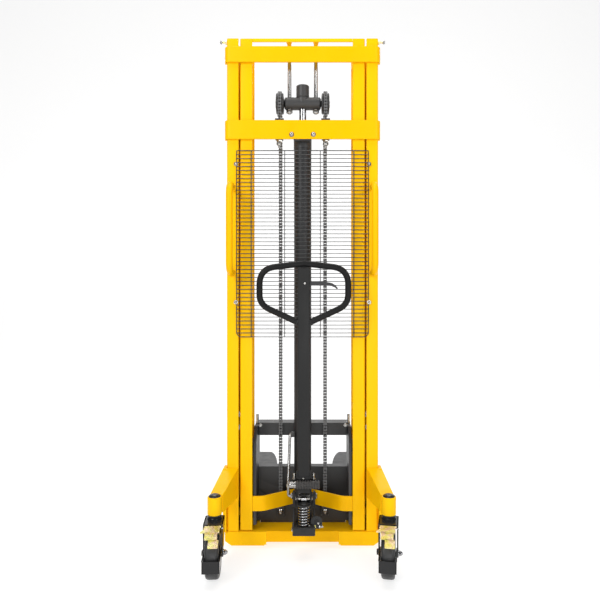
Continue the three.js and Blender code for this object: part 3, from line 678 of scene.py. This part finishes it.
def guide_rods():
    for name, side in SIDES:
        x = side * GUIDE_X
        form = Form(lathe("Z", (x, RAM_Y, 0), [(0, 1788.3), (7, 1788.3), (8, 1789.8), (8, 2066.7),
                                                (5, 2066.7), (5, 2079.6), (0, 2079.6)], 32))
        piece(f"guide_bar_{name}", form, "rod", "inner_mast", f"guide_rod_{name}")
        nuts = Form(hexagon("Z", (x, RAM_Y, 1791.3), 10.5, 13.0),
                    rod("Z", (x, RAM_Y, 1801.9), 1.4, 13.5))
        piece(f"guide_nuts_{name}", nuts, "zinc", "inner_mast")


# Links of each run, and how many spare ones lie inside each other at one end.
ANCHOR_LINKS, ANCHOR_REST = 120, 6
LOAD_LINKS, LOAD_GROUP = 131, 18
TRAVEL_LINKS = 114
NEST = 0.02
WRAP_LINKS = 11
# Near and far face of the plates, half length, radius and sides of the pins or rollers.
LINK = {True: (4.7, 7.4, 8.2, 2.3, 10), False: (2.3, 4.5, 3.8, 5.0, 12)}


def link_shapes(outer, shrink=0.0):
    """One chain link along +Z from the origin, its plates and its pins or rollers apart."""
    near, far, reach, radius, sides = LINK[outer]
    end, waist = 5.6 - shrink, 4.5 - shrink
    outline = []
    for cz, start in ((0.0, 180.0), (PITCH, 0.0)):
        for i in range(7):
            a = math.radians(start + 30 * i)
            outline.append((end * math.cos(a), cz + end * math.sin(a)))
        outline.append((waist if start else -waist, PITCH / 2))
    plates = Form(*(prism("YZ", outline, s * (near + shrink), s * (far - shrink))
                    for s in (-1, 1)))
    radius, reach = radius - shrink, reach - shrink
    profile = [(0, -reach), (radius, -reach), (radius, reach), (0, reach)]
    barrels = Form(*(lathe("X", (0, 0, z), profile, sides) for z in (0.0, PITCH)))
    return plates, barrels


def run_of_chain(name, node, side, y, base, count, share):
    """A straight run of links: each link keeps its length and is placed by its own share, so that
    spare links lie inside each other. The weight by which each link would follow the lift is worked
    out but not used."""
    x = side * WHEEL_X
    for part_index, (kind, look) in enumerate((("plates", "chain"), ("rollers", "pin"))):
        form, weights = Form(), []
        for k in range(count):
            place, weight, shrink = share(k)
            shape = link_shapes(k % 2 == 1, shrink)[part_index]
            moved = [(px + x, py + y, pz + base + place * PITCH) for px, py, pz in shape.points]
            form.add((moved, shape.faces))
            weights += [weight] * len(moved)
        obj = piece(f"{name}_{kind}", form, look, None, node)
        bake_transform(obj)


def anchor_share(k):
    if k >= TRAVEL_LINKS:
        return k - TRAVEL_LINKS, 1.0, 0.0
    rest = k % ANCHOR_REST
    return rest, (k - rest) / TRAVEL_LINKS, NEST * (1 + k // ANCHOR_REST)


def load_share(k):
    lead = k - k % LOAD_GROUP
    return k, max(0, TRAVEL_LINKS - lead) / TRAVEL_LINKS, NEST * (k // LOAD_GROUP)


def chain_wrap(name, side):
    """Links that lie over the chain wheel, from its rear to its front."""
    wrap = (Form(), Form())
    half_turn = math.pi / (2 * WRAP_LINKS)
    radius = PITCH / 2 / math.sin(half_turn)
    for k in range(WRAP_LINKS):
        turn = math.pi * k / WRAP_LINKS
        y = RAM_Y - radius * math.cos(turn)
        z = WHEEL_Z + radius * math.sin(turn)
        place = Matrix.Translation((side * WHEEL_X, y, z)) @ Matrix.Rotation(
            -(turn + half_turn), 4, "X")
        for form, shape in zip(wrap, link_shapes(k % 2 == 1)):
            form.add(([place @ Vector(p) for p in shape.points], shape.faces))
    piece(f"chain_wrap_{name}_plates", wrap[0], "chain", "ram", f"chain_load_run_{name}")
    piece(f"chain_wrap_{name}_rollers", wrap[1], "pin", "ram")


def chains():
    for name, side in SIDES:
        run_of_chain(f"chain_anchor_{name}", f"chain_anchor_run_{name}", side, 8.0,
                     WHEEL_Z - ANCHOR_REST * PITCH, ANCHOR_LINKS,
                     anchor_share)
        run_of_chain(f"chain_load_{name}", f"chain_load_run_{name}", side, 98.0,
                     WHEEL_Z - LOAD_LINKS * PITCH, LOAD_LINKS, load_share)
        chain_wrap(name, side)


lift()
crosshead()
guide_rods()
chains()


# ---- base, legs, carriage and forks

def base_details():
    welds = Form()
    for side in (-1, 1):
        for z in (28, 57):
            welds.add(rod("Y", (side * 250, -4.8, z), -0.9, 6.0))
    for side in (-1, 1):
        x = side * 149.0
        bead = [(x, -3.5, 69), (x, -3.5, 16)]
        welds.add(sweep(bead, circle(1.8, 10), up=(0, 1, 0)))
    piece("base_welds", welds, "yellow", "chassis")


def load_rollers():
    for name, side in SIDES:
        x, y, z = side * 235.0, 960.0, 37.0
        turned = [(13, -33), (31, -33), (33, -34), (35.5, -33), (37, -30), (37, 30), (35.5, 33),
                  (33, 34), (31, 33), (13, 33)]
        tyre = Form(lathe("X", (x, y, z), turned, 56, loop=True))
        piece(f"leg_roller_{name}", tyre, "tread", f"load_roller_{name}", f"load_roller_{name}")
        core = Form(tube("X", (x, y, z), 8.3, 12.9, -34, 34, 40))
        piece(f"leg_roller_race_{name}", core, "race", f"load_roller_{name}")
        pin = Form()
        for s in (-1, 1):
            pin.add(rod("X", (x + s * 49.4, y, z), s * 2.0, 8.0))
        piece(f"leg_roller_pin_{name}", pin, "zinc", "chassis")


def race(name, node, side, z, near, far, radius):
    """A steel roller with a raised inner race and a shield."""
    half = (far - near) / 2
    turned = [(12.4, -half), (22, -half), (22.5, -half + 1.2), (29, -half + 1.2), (29.5, -half),
              (radius - 2, -half), (radius, -half + 2), (radius, half - 2), (radius - 2, half),
              (29.5, half), (29, half - 1.2), (22.5, half - 1.2), (22, half), (12.4, half)]
    form = Form(lathe("X", (side * (near + far) / 2, 50.0, z), turned, 56, loop=True))
    piece(name, form, "race", node, node)


def rollers():
    sizes = {"mast": (264.0, 292.0, 39.5), "carriage": (208.0, 238.0, 38.5)}
    for name, side in SIDES:
        for group, size in sizes.items():
            for level, z in ROLLER_HEIGHTS[group]:
                race(f"{group}_bearing_{level}_{name}", f"{group}_roller_{level}_{name}", side, z,
                     *size)


def carriage_details():
    """Bolts, chain anchors and pins of the fork carriage."""
    zinc = Form()
    for side in (-1, 1):
        x = side * WHEEL_X
        zinc.add(hexagon("Z", (x, 98, 115), 12.5, 12.0), hexagon("Z", (x, 98, 138.2), 9, 12.0, 0.5),
                 rod("Z", (x, 98, 104), 20, 6.3), rod("Z", (x, 98, 113), 2, 13.0))
        zinc.add(rod("Z", (side * 196, 130, 484), 36.9, 6.0),
                 rod("Z", (side * 196, 130, 485), 4, 9.0))
        zinc.add(hexagon("Y", (side * 182, 109.5, 478), -4, 6.0),
                 rod("Y", (side * 182, 110.5, 478), -1.5, 8.0))
    piece("carriage_fasteners", zinc, "zinc", "carriage")
    dark = Form()
    for side in (-1, 1):
        x = side * WHEEL_X
        lug = [(92, 104), (125, 84), (125, 126), (92, 126)]
        dark.add(prism("YZ", lug, x - 15.5, x - 11.5), prism("YZ", lug, x + 11.5, x + 15.5))
        dark.add(rod("X", (side * 180, 118, 452), side * 8, 9.0))
        for z in (110.0, 250.0):
            dark.add(hoop("X", (side * 190.0, 124, z), 3, 2.0, 16))
    piece("carriage_brackets", dark, "black", "carriage", (), 0.8)
    welds = Form()
    for side in (-1, 1):
        for x in (151.0, 303.0):
            welds.add(sweep([(side * x, 134.8, 84), (side * x, 134.8, 284)], circle(2.2, 10),
                            up=(0, 1, 0)))
        welds.add(sweep([(side * 190.5, 113, 486), (side * 190.5, 175, 486)], circle(2.2, 10)))
    piece("carriage_welds", welds, "black", "carriage")


base_details()
load_rollers()
rollers()
carriage_details()


# ---- casters

CASTER_X, CASTER_Y = 325.0, -190.0
CASTER_TURN = {"right": -10.0, "left": 4.0}
TRAIL = 40.0
WHEEL_R = 90.0 * math.cos(math.pi / 24)
PEDAL = (0.0, -72.0, 193.0)


def caster_arms():
    for name, side in SIDES:
        x, y = CASTER_X, CASTER_Y
        form = Form(hull((262, -0.3, 208), (323, -0.3, 208), (347, -172, 213.4),
                         (296.8, -172, 213.4), (262, -0.3, 329), (323, -0.3, 329),
                         (347, -172, 279.4), (296.8, -172, 279.4)))
        form.add(prism("YZ", [(-14, 70.3), (62, 70.3), (62, 305), (38, 329), (-14, 329)],
                       309.3, 323))
        piece(f"stem_arm_{name}", form.mirrored(side), "yellow", "chassis",
              f"caster_arm_{name}", 2.2, 3)
        turned = [(15.5, 214.5), (24.6, 214.5), (26.5, 216.5), (26.5, 279), (25, 281),
                  (22.8, 281), (22.8, 278), (15.5, 278)]
        stem = Form(lathe("Z", (x, y, 0), turned, 56, loop=True))
        for s in (-1, 1):
            bead = [(x + s * 22, y + 14.5, 222), (x + s * 22, y + 14.5, 276)]
            stem.add(sweep(bead, circle(2.4, 10), up=(0, 1, 0)))
        piece(f"stem_tube_{name}", stem.mirrored(side), "yellow", "chassis")
        cap = Form(lathe("Z", (x, y, 0), [(0, 276), (22.4, 276), (22.4, 281.5), (21.4, 284),
                                          (17, 287), (9, 288.8), (4, 288.6), (2, 287.4),
                                          (0, 287.2)], 48))
        piece(f"stem_cap_{name}", cap.mirrored(side), "gloss", "chassis")
        ring = Form(lathe("Z", (x, y, 0), [(15.5, 207.2), (24.5, 207.2), (25.4, 209), (25.4, 214.4),
                                           (15.5, 214.4)], 56, loop=True))
        piece(f"stem_bearing_{name}", ring.mirrored(side), "gloss", "chassis")


def yoke_form():
    cheek = rounded([(-54, 76), (-26, 76), (-20, 100), (26, 182), (26, 200), (-62, 200),
                     (-64, 186), (-60, 104)], [10, 8, 8, 6, 3, 3, 6, 8], 5)
    guard = rounded([(-143, 60), (-121, 60), (-70, 66), (-24, 78), (-26, 104), (-60, 108),
                     (-123, 104), (-143, 102)], [2, 14, 20, 6, 6, 10, 14, 2], 5)
    form = Form()
    for s in (-1, 1):
        form.add(prism("YZ", cheek, s * 31.2, s * 36.0))
        form.add(prism("YZ", guard, s * 27.2, s * 31.1))
    form.add(prism("XY", rounded(rect(-36, 36, -62, 26), 6), 194.2, 200))
    form.add(prism("XZ", rounded(rect(-31.1, 31.1, 60, 102), [6, 6, 2, 2]), -143, -139))
    form.add(prism("XZ", rect(-31.3, 31.3, 186, 195), -62, -58.5))
    form.add(lathe("Z", (0, 0, 0), [(0, 184), (25, 184), (27, 186), (27, 195), (0, 195)], 48))
    form.add(lathe("Z", (0, 0, 0), [(0, 199), (27, 199), (27, 203), (24.5, 206.4), (0, 206.4)],
                   48))
    form.add(rod("Z", (0, 0, 200), 68, 14.3))
    rim = [(-31.2, -60, 108.3), (-31.2, -122, 104.3), (-31.2, -142, 102.3), (31.2, -142, 102.3),
           (31.2, -122, 104.3), (31.2, -60, 108.3)]
    form.add(sweep(bent(rim, 5.0), circle(1.7, 10)))
    return form


def caster_bolts():
    bright = Form(rod("X", (25.5, -TRAIL, WHEEL_R), 26, 4.5),
                  lathe("X", (36.2, -TRAIL, WHEEL_R), [(0, 0), (11, 0), (11, 1.6), (0, 1.6)], 32),
                  hexagon("X", (37.8, -TRAIL, WHEEL_R), 6.5, 9.8),
                  dome("X", (44.2, -TRAIL, WHEEL_R), 7.2, 8.2))
    bright.add(rod("X", (31, PEDAL[1], PEDAL[2] - 3), 7.5, 3.0))
    dark = Form(lathe("X", (-37.6, -TRAIL, WHEEL_R), [(0, 0), (12, 0), (12, 1.4), (0, 1.4)], 32),
                hexagon("X", (-43, -TRAIL, WHEEL_R), 5.5, 10.6))
    return bright, dark


def wheel_forms():
    tread = [(62, -22.5), (66, -24.6), (80, -24.4), (85, -22.6), (88.2, -18.5), (WHEEL_R, -12),
             (WHEEL_R, 12), (88.2, 18.5), (85, 22.6), (80, 24.4), (66, 24.6), (62, 22.5)]
    tyre = Form(lathe("X", (0, -TRAIL, WHEEL_R), tread, 72, loop=True))
    hub = [(17, -24.5), (22, -25.5), (25, -24), (27, -17), (54, -17), (57, -22), (62.5, -23),
           (62.5, 23), (57, 22), (54, 17), (27, 17), (25, 24), (22, 25.5), (17, 24.5)]
    core = Form(lathe("X", (0, -TRAIL, WHEEL_R), hub, 64, loop=True))
    for i in range(6):
        a = math.pi * i / 3
        for s in (-1, 1):
            spoke = hull(*[(s * w, -TRAIL + r * math.cos(a) - t * math.sin(a),
                            WHEEL_R + r * math.sin(a) + t * math.cos(a))
                           for w in (16.5, 20.5)
                           for r, t in ((24, -3), (58, -3), (58, 3), (24, 3))])
            core.add(spoke)
    bearing = Form(lathe("X", (0, -TRAIL, WHEEL_R), [(8.3, -26), (16.9, -25.6), (16.9, 25.6),
                                                      (8.3, 26)], 40, loop=True))
    return tyre, core, bearing


def pedal_form():
    """Three stepped treads of a pressed brake pedal, with an ear on its left."""
    tiers = [([(-28, 4), (-31, -4), (-31, -14), (-42, -24), (-41, -30), (-27, -28), (26, -28),
               (26, 4)], 1.5, 4.5, 3.0),
             ([(-25, -24), (20, -24), (20, -57), (-25, -57)], -2.5, 0.5, 3.5),
             ([(-10, -54), (26, -54), (26, -92), (-10, -92)], -6.5, -3.5, 4.5)]
    form = Form()
    for outline, low, high, radius in tiers:
        form.add(prism("XY", rounded(outline, radius, 4), low, high))
    form.add(block(-25, 20, -28, -24, -2.5, 4.5))
    form.add(block(-10, 20, -57, -53.5, -6.5, 0.5))
    form.add(rod("X", (-30, 3, 0.5), 60, 3.6))
    for s in (-1, 1):
        form.add(prism("YZ", rounded([(-24, -10), (4, -10), (8, 4), (-24, 4)], 3),
                       s * 24.5 - 1.2, s * 24.5 + 1.2))
    slope = Matrix.Translation(PEDAL) @ Matrix.Rotation(math.radians(21), 4, "X")
    return form.placed(slope)


def casters():
    for name, side in SIDES:
        place = (Matrix.Translation((side * CASTER_X, CASTER_Y, 0))
                 @ Matrix.Rotation(math.radians(CASTER_TURN[name]), 4, "Z"))
        yoke, wheel, pedal = f"caster_yoke_{name}", f"caster_wheel_{name}", f"brake_pedal_{name}"
        piece(f"caster_fork_{name}", yoke_form().placed(place), "gloss", yoke, yoke, 0.9, 3)
        bright, dark = caster_bolts()
        piece(f"caster_axle_{name}", bright.placed(place), "chrome", yoke)
        piece(f"caster_nut_{name}", dark.placed(place), "gloss", yoke)
        tyre, core, bearing = wheel_forms()
        piece(f"caster_tyre_{name}", tyre.placed(place), "tread", wheel, wheel)
        piece(f"caster_hub_{name}", core.placed(place), "black", wheel, (), 0.8)
        piece(f"caster_bearing_{name}", bearing.placed(place), "race", wheel)
        piece(f"caster_pedal_{name}", pedal_form().placed(place), "gold", pedal, pedal, 0.6, 3)


caster_arms()
casters()


# ---- pump

X0 = 7.0
PIVOT_Y, PIVOT_Z = -70.0, 240.0
PISTON_Y = -100.0
TUBE_Y = -120.0


def about(half, low, high):
    """A rectangle centred across the pump and tiller."""
    return rect(X0 - half, X0 + half, low, high)


def pump_casting():
    low, top = 104, 134
    bore = (X0, PISTON_Y, 0)
    form = Form(prism("XY", rounded(about(44, -125, -111), [7, 7, 0.5, 0.5]), low, top),
                block(X0 - 44, X0 - 11, -111.5, -88.5, low, top),
                block(X0 + 11, X0 + 44, -111.5, -88.5, low, top),
                block(X0 - 44, X0 + 44, -89, 10, low, top),
                tube("Z", bore, 10.4, 16, low, top, 48))
    form.add(prism("XY", rounded(about(44, -4, 10), 3), 70.4, 104.5),
             prism("XY", rounded(about(32, -62, -30), 10), 132, 215),
             prism("XZ", rounded(about(44, 190, 215), 7), -62, -36))
    form.add(lathe("Z", bore, [(10.4, 120), (27.5, 120), (27.5, 133), (26, 136.5),
                               (24.4, 136.5), (24.4, 133.9), (10.4, 133.9)], 48, loop=True))
    ear = rounded([(-86, 226), (-80, 206), (-55, 198), (-42, 198), (-42, 240), (-56, 257),
                   (-80, 256)], 7)
    for s in (-1, 1):
        form.add(prism("YZ", ear, X0 + s * 36, X0 + s * 44))
        form.add(lathe("X", (X0, PIVOT_Y, PIVOT_Z), [(7.3, s * 35), (13.5, s * 35), (13.5, s * 46),
                                                     (12, s * 47), (7.3, s * 47)], 36, loop=True))
        form.add(prism("YZ", [(-112, 134), (-62, 134), (-62, 186)], X0 + s * 38, X0 + s * 43))
        for z in (113.0, 124.0):
            form.add(rod("X", (X0 + s * 43.5, -64, z), s * 3, 7.0))
    form.add(prism("XZ", rounded(rect(X0 + 40, X0 + 64, 122, 160), 5), -100.9, -92))
    form.add(rod("Z", (X0 - 18, -46, 214), 6, 8.0), rod("Z", (X0 + 18, -46, 214), 6, 8.0))
    piece("pump_casting", form, "cast", "chassis", "pump_body", 1.3)


def pump_pin():
    pivot = (X0, PIVOT_Y, PIVOT_Z)
    bright = Form()
    for s in (-1, 1):
        bright.add(hexagon("X", (X0 + s * 47.2, PIVOT_Y, PIVOT_Z), s * 4.5, 9.0),
                   rod("X", (X0 + s * 36, PIVOT_Y, PIVOT_Z), s * 14, 6.2),
                   tube("X", pivot, 7, 11.5, s * 46.9, s * 47.6))
        bright.add(hexagon("Z", (X0 + s * 18, -46, 219.5), 5, 6.5))
    bright.add(rod("X", (X0 - 42, PIVOT_Y, PIVOT_Z), 84, 6.9))
    bright.add(hexagon("X", (X0 - 43.6, -96, 118), -5, 7.5))
    piece("pump_pin", bright, "zinc", "chassis", "tiller_pivot_pin")


def pump_plunger():
    foot = (X0, PISTON_Y, 0)
    piston = Form(lathe("Z", foot, [(0, 130), (9.8, 130), (9.8, 226), (8.5, 227.6),
                                    (0, 227.6)], 40))
    piece("pump_plunger", piston, "satin", "pump_piston", "pump_piston")
    cap = Form(lathe("Z", foot, [(9.9, 213), (25, 213), (26.8, 214), (26.8, 217), (25.5, 218),
                                 (14, 218), (12, 222), (9.9, 222)], 48, loop=True))
    piece("spring_cap", cap, "black", "pump_piston")


def pump_spring():
    """A coil whose end turns lie flatter than the rest, on its seat."""
    turns, low, high, radius, wire = 7.0, 137.0, 210.4, 21.0, 2.45
    path = []
    steps = int(turns * 28)
    for i in range(steps + 1):
        share = i / steps
        flat = 0.5 - 0.5 * math.cos(math.pi * min(1, min(share, 1 - share) * 7))
        a = 2 * math.pi * turns * share
        rise = low + (high - low) * share
        ease = (1 - flat) * (0.6 if share < 0.5 else -0.6)
        path.append((X0 + radius * math.cos(a), PISTON_Y + radius * math.sin(a), rise - ease))
    spring = piece("spring_coil", Form(sweep(path, circle(wire, 12))), "chrome", "chassis",
                   "pump_spring")
    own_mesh(spring)
    seat = Form(tube("Z", (X0, PISTON_Y, 0), 10.4, 24.2, 134, 135.6, 40))
    piece("spring_seat", seat, "zinc", "chassis")


def pipe():
    x = -56.0
    points = [(X0 - 44, -48, 232), (x, -48, 232), (x, -48, 290), (x + 2, 12, 400),
              (x + 4, 30, 458), (-41, 30, 458)]
    form = Form(sweep(bent(points, 14.0, 10), circle(5.9, 24), up=(0, 1, 0)))
    form.add(hexagon("X", (X0 - 44.3, -48, 232), -7, 8.6))
    form.add(rod("X", (-43, 30, 458), -6, 7.8))
    piece("oil_line", form, "rod", "chassis", "oil_pipe")
    clip = Form(tube("Z", (x, -48, 0), 6.2, 8.5, 268, 276))
    piece("oil_line_clip", clip, "zinc", "chassis", (), 0.5)


def valve():
    x, z = 56.0, 151.0
    outline = [(x + 22 * math.cos(a), z + 22 * math.sin(a)) for a in np.linspace(0, math.pi, 25)]
    outline += [(x - 22, z - 6), (x - 4, z - 14), (x + 22, z - 6)]
    form = Form(prism("XZ", outline, -106, -101.4))
    rim = [(px, -106.0, pz) for px, pz in outline[:25]]
    form.add(sweep(rim, circle(1.4, 8), up=(0, 1, 0)))
    form.add(lathe("Y", (x, -106, z), [(0, 0), (0, -1.6), (9, -1.6), (10, 0)], 32))
    form.add(block(x + 14, x + 22, -106, -101.4, z - 22, z - 4))
    piece("valve_arm", form, "cast", "valve_lever", "valve_lever", 0.7)
    bright = Form(dome("Y", (63, -106, 145), -3.4, 4.6), rod("X", (68, -104, 131.5), 14, 3.4),
                  hexagon("X", (66, -104, 131.5), 5, 5.6))
    piece("valve_bolts", bright, "zinc", "valve_lever")
    gold = Form(hexagon("Y", (49, -105.8, 132.5), -4, 5.4), rod("Y", (49, -101, 132.5), -4.8, 3.2))
    gold.add(rod("X", (44, -103.5, 137), 10, 2.0))
    piece("valve_screw", gold, "gold", "valve_lever")


pump_casting()
pump_pin()
pump_plunger()
pump_spring()
pipe()
valve()


# ---- tiller

def quadratic(p0, p1, p2, steps=12):
    p0, p1, p2 = (np.array(p, float) for p in (p0, p1, p2))
    return [(1 - t) ** 2 * p0 + 2 * t * (1 - t) * p1 + t * t * p2
            for t in np.linspace(0, 1, steps + 1)]


def tiller_tube():
    form = Form(prism("XY", rounded(about(24, -133, -107), 5.5, 6), 330, 1133.5),
                prism("XY", rounded(about(22.6, -131.6, -108.4), 4.5, 6), 1133, 1138.3),
                prism("XY", rounded(about(27, -135.6, -104.4), 8, 6), 325.5, 334))
    cheek = rounded([(-110, 234), (-104, 228), (-62, 226), (-55, 240), (-60, 252), (-96, 305),
                     (-107, 352), (-132.6, 352), (-132.6, 327), (-124.5, 322), (-124.5, 290),
                     (-110, 252)], 6)
    for s in (-1, 1):
        form.add(prism("YZ", cheek, X0 + s * 23.6, X0 + s * 29.8))
        tab = rounded(rect(X0 + s * 26, X0 + s * 44, -123, -106), 3.5)
        form.add(prism("XY", tab, 311, 321))
        form.add(lathe("X", (X0, PIVOT_Y, PIVOT_Z), [(7.3, s * 29), (15, s * 29), (15, s * 33),
                                                     (13.5, s * 34.4), (7.3, s * 34.4)], 36,
                       loop=True))
    form.add(prism("XZ", about(24, 268, 326), -123, -114))
    form.add(lathe("Z", (X0, -108, 0), [(0, 257), (20, 257), (22.5, 259), (22.5, 264),
                                        (20, 266), (13, 266), (11, 262), (0, 262)], 48))
    form.add(dome("X", (X0 + 23.5, TUBE_Y, 1042), 4.5, 12.0))
    form.add(hoop("Z", (X0, TUBE_Y, 1139), 13.0, 2.2, 36))
    piece("tiller_tube", form, "satin", "tiller", "tiller", 0.6)


def tiller_fasteners():
    roller = (X0, PISTON_Y, PIVOT_Z)
    bright = Form(dome("Y", (X0 - 2, -135.4, 329), -6.0, 4.4),
                  rod("X", (X0 - 29, PISTON_Y, PIVOT_Z), 58, 4.9))
    for s in (-1, 1):
        x = X0 + s * 37
        bright.add(rod("Z", (x, -115, 320), 17, 4.8), dome("Z", (x, -115, 337), 6.5, 6.6),
                   rod("Z", (x, -115, 320.8), 3, 7.6))
        bright.add(tube("X", roller, 5, 8.2, s * 14.5, s * 18, 28))
        bright.add(rod("X", (X0 + s * 29.6, PISTON_Y, PIVOT_Z), s * 3.4, 6.4))
    bright.add(hexagon("Z", (X0 + 16, -114, 265), 5, 5.0),
               dome("Z", (X0 - 16, -113, 265.5), 4, 5.4))
    piece("tiller_fasteners", bright, "zinc", "tiller")
    gold = Form(hexagon("Z", (X0, -110, 262), 5.5, 6.0))
    piece("tiller_grease_cap", gold, "gold", "tiller")


def pump_roller():
    tyre = Form(lathe("X", (X0, PISTON_Y, PIVOT_Z), [(5.3, -10), (11, -10), (12, -9), (12, 9),
                                                     (11, 10), (5.3, 10)], 40, loop=True))
    piece("pump_roller_race", tyre, "chrome", "pump_roller", "pump_roller")


def loop():
    mid, half = TUBE_Y, 171.0

    def side(s):
        def p(x, z):
            return (X0 + s * x, mid, z)
        return [np.array(p(31, 930), float), *quadratic(p(132, 977), p(half, 995), p(half, 1034)),
                *quadratic(p(half, 1072), p(half, 1134), p(110, 1141), 18),
                *quadratic(p(26, 1151.2), p(0, 1153.8), p(0, 1153.8), 4)]
    right, left = side(1), side(-1)
    path = left + right[::-1][1:]
    start, end = (X0 - 22, mid, 925.8), (X0 + 22, mid, 925.8)
    form = Form(sweep([start, *path, end], circle(12.0, 32), up=(0, 1, 0)))
    for s in (-1, 1):
        lean = math.atan2(47, 101)
        ring = lathe("Z", (0, 0, 0), [(12.5 + 2.2 * math.cos(a), 2.2 * math.sin(a))
                                      for a in np.linspace(0, 2 * math.pi, 9)[:-1]], 36, loop=True)
        turn = (Matrix.Translation((X0 + s * 25.5, mid, 927.5))
                @ Matrix.Rotation(s * (math.pi / 2 - lean), 4, "Y"))
        form.add(([turn @ Vector(p) for p in ring[0]], ring[1]))
    piece("tiller_loop", form, "satin", "tiller", "handle_loop")


def release_lever():
    z = 1077.0
    outline = [(-2, z - 8), (70, z - 8), (88, z - 8.5), (106, z - 10), (120, z - 16),
               (129.5, z - 23.5), (131, z - 18), (122, z - 7), (108, z + 1.5), (90, z + 5),
               (40, z + 8.5), (-2, z + 8.5)]
    outline = [(X0 + x, h) for x, h in outline]
    radii = [3, 30, 20, 20, 20, 2, 2, 20, 20, 30, 40, 3]
    form = Form(prism("XZ", rounded(outline, radii, 6), -124, -116))
    piece("lever_blade", form, "black", "release_lever", "release_lever", 1.6, 3)
    pin = Form(rod("Y", (X0 + 4, -133.8, z), 27.6, 4.0))
    piece("lever_pin", pin, "zinc", "tiller")


def foot_pedal():
    """A steel rod end and a rubber sleeve with padded ribs."""
    y, z, core = -141.0, 307.0, 12.9
    metal_end = Form(lathe("X", (X0, y, z), [(0, -60), (5, -59.6), (9, -57.5), (11, -53.5),
                                              (11.4, -48), (11.4, -38), (13.4, -37), (13.4, -31),
                                              (0, -31)], 40))
    piece("pedal_rod", metal_end, "rod", "tiller")
    ribs, sides, start, end = 9, 48, -30.0, 61.0
    pitch = (end - start) / ribs
    rings = [(core, start, 0.0)]
    for i in range(ribs):
        base = start + i * pitch
        rings += [(core, base + 0.8, 0.0), (core, base + 2.2, 0.0), (16.0, base + 3.0, 1.0),
                  (16.0, base + pitch / 2, 1.0), (16.0, base + pitch - 1.6, 1.0),
                  (core, base + pitch - 0.5, 0.0)]
    rings.append((core, end, 0.0))
    points, faces, loops = [(X0 + start, y, z)], [], [[0]]
    for radius, x, pad in rings:
        loops.append(list(range(len(points), len(points) + sides)))
        for k in range(sides):
            a = 2 * math.pi * k / sides
            r = radius - (1.6 * pad if k % 6 in (0, 1) else 0.0)
            points.append((X0 + x, y + r * math.cos(a), z + r * math.sin(a)))
    loops.append([len(points)])
    points.append((X0 + end, y, z))
    for a, b in zip(loops, loops[1:]):
        faces += band(a, b)
    piece("pedal_sleeve", Form((points, faces)), "rubber", "tiller", "foot_pedal")


tiller_tube()
tiller_fasteners()
pump_roller()
loop()
release_lever()
foot_pedal()


# ---- studio

def studio():
    floor_look = Look("stage", Specular_IOR_Level=0.1, Roughness=0.9)
    floor_look.color(floor_look.ramp(floor_look.noise(0.4, 1.0), (0.3, 0.36), (0.8, 0.38)))
    floor_look.shader.inputs["Emission Color"].default_value = (1, 1, 1, 1)
    floor_look.shader.inputs["Emission Strength"].default_value = 0.72
    depth, height, curve, half = 3.6, 7.0, 1.6, 9.0
    profile = [(-7.0, 0.0), (depth - curve, 0.0)]
    profile += [(depth - curve + curve * math.sin(a), curve - curve * math.cos(a))
                for a in np.linspace(0.1, math.pi / 2, 14)]
    profile += [(depth, height)]
    points = [(x, y, z) for x in (-half, half) for y, z in profile]
    n = len(profile)
    faces = [(i, i + 1, n + i + 1, n + i) for i in range(n - 1)]
    mesh = bpy.data.meshes.new("stage_sweep")
    mesh.from_pydata(points, [], faces)
    smooth(mesh)
    mesh.materials.append(floor_look.material)
    stage = add_object("stage_sweep", mesh)


def softbox(name, place, target, size, power):
    data = bpy.data.lights.new(name, "AREA")
    data.shape = "RECTANGLE"
    data.size, data.size_y = size
    data.energy = power
    light = add_object(name, data)
    light.location = place
    aim = Vector(target) - Vector(place)
    light.rotation_euler = aim.to_track_quat("-Z", "Y").to_euler()


def lights():
    softbox("key", (-2.6, -4.2, 3.4), (0, -0.3, 1.1), (1.6, 2.4), 120)
    softbox("fill", (3.0, -4.0, 2.4), (0, -0.3, 1.0), (1.4, 2.2), 70)
    softbox("top", (0, -0.8, 4.6), (0, -0.2, 1.0), (3.0, 2.4), 90)
    softbox("low", (0.2, -4.6, 0.7), (0, -0.3, 0.5), (2.4, 0.8), 34)
    softbox("back", (0, 2.4, 3.6), (0, 0.2, 0.6), (3.0, 1.2), 70)
    world = bpy.data.worlds.new("studio")
    bpy.context.scene.world = world
    world.use_nodes = True
    background = world.node_tree.nodes["Background"]
    background.inputs["Color"].default_value = (1, 1, 1, 1)
    background.inputs["Strength"].default_value = 0.12
    bpy.context.scene.view_settings.view_transform = "Standard"


studio()
lights()
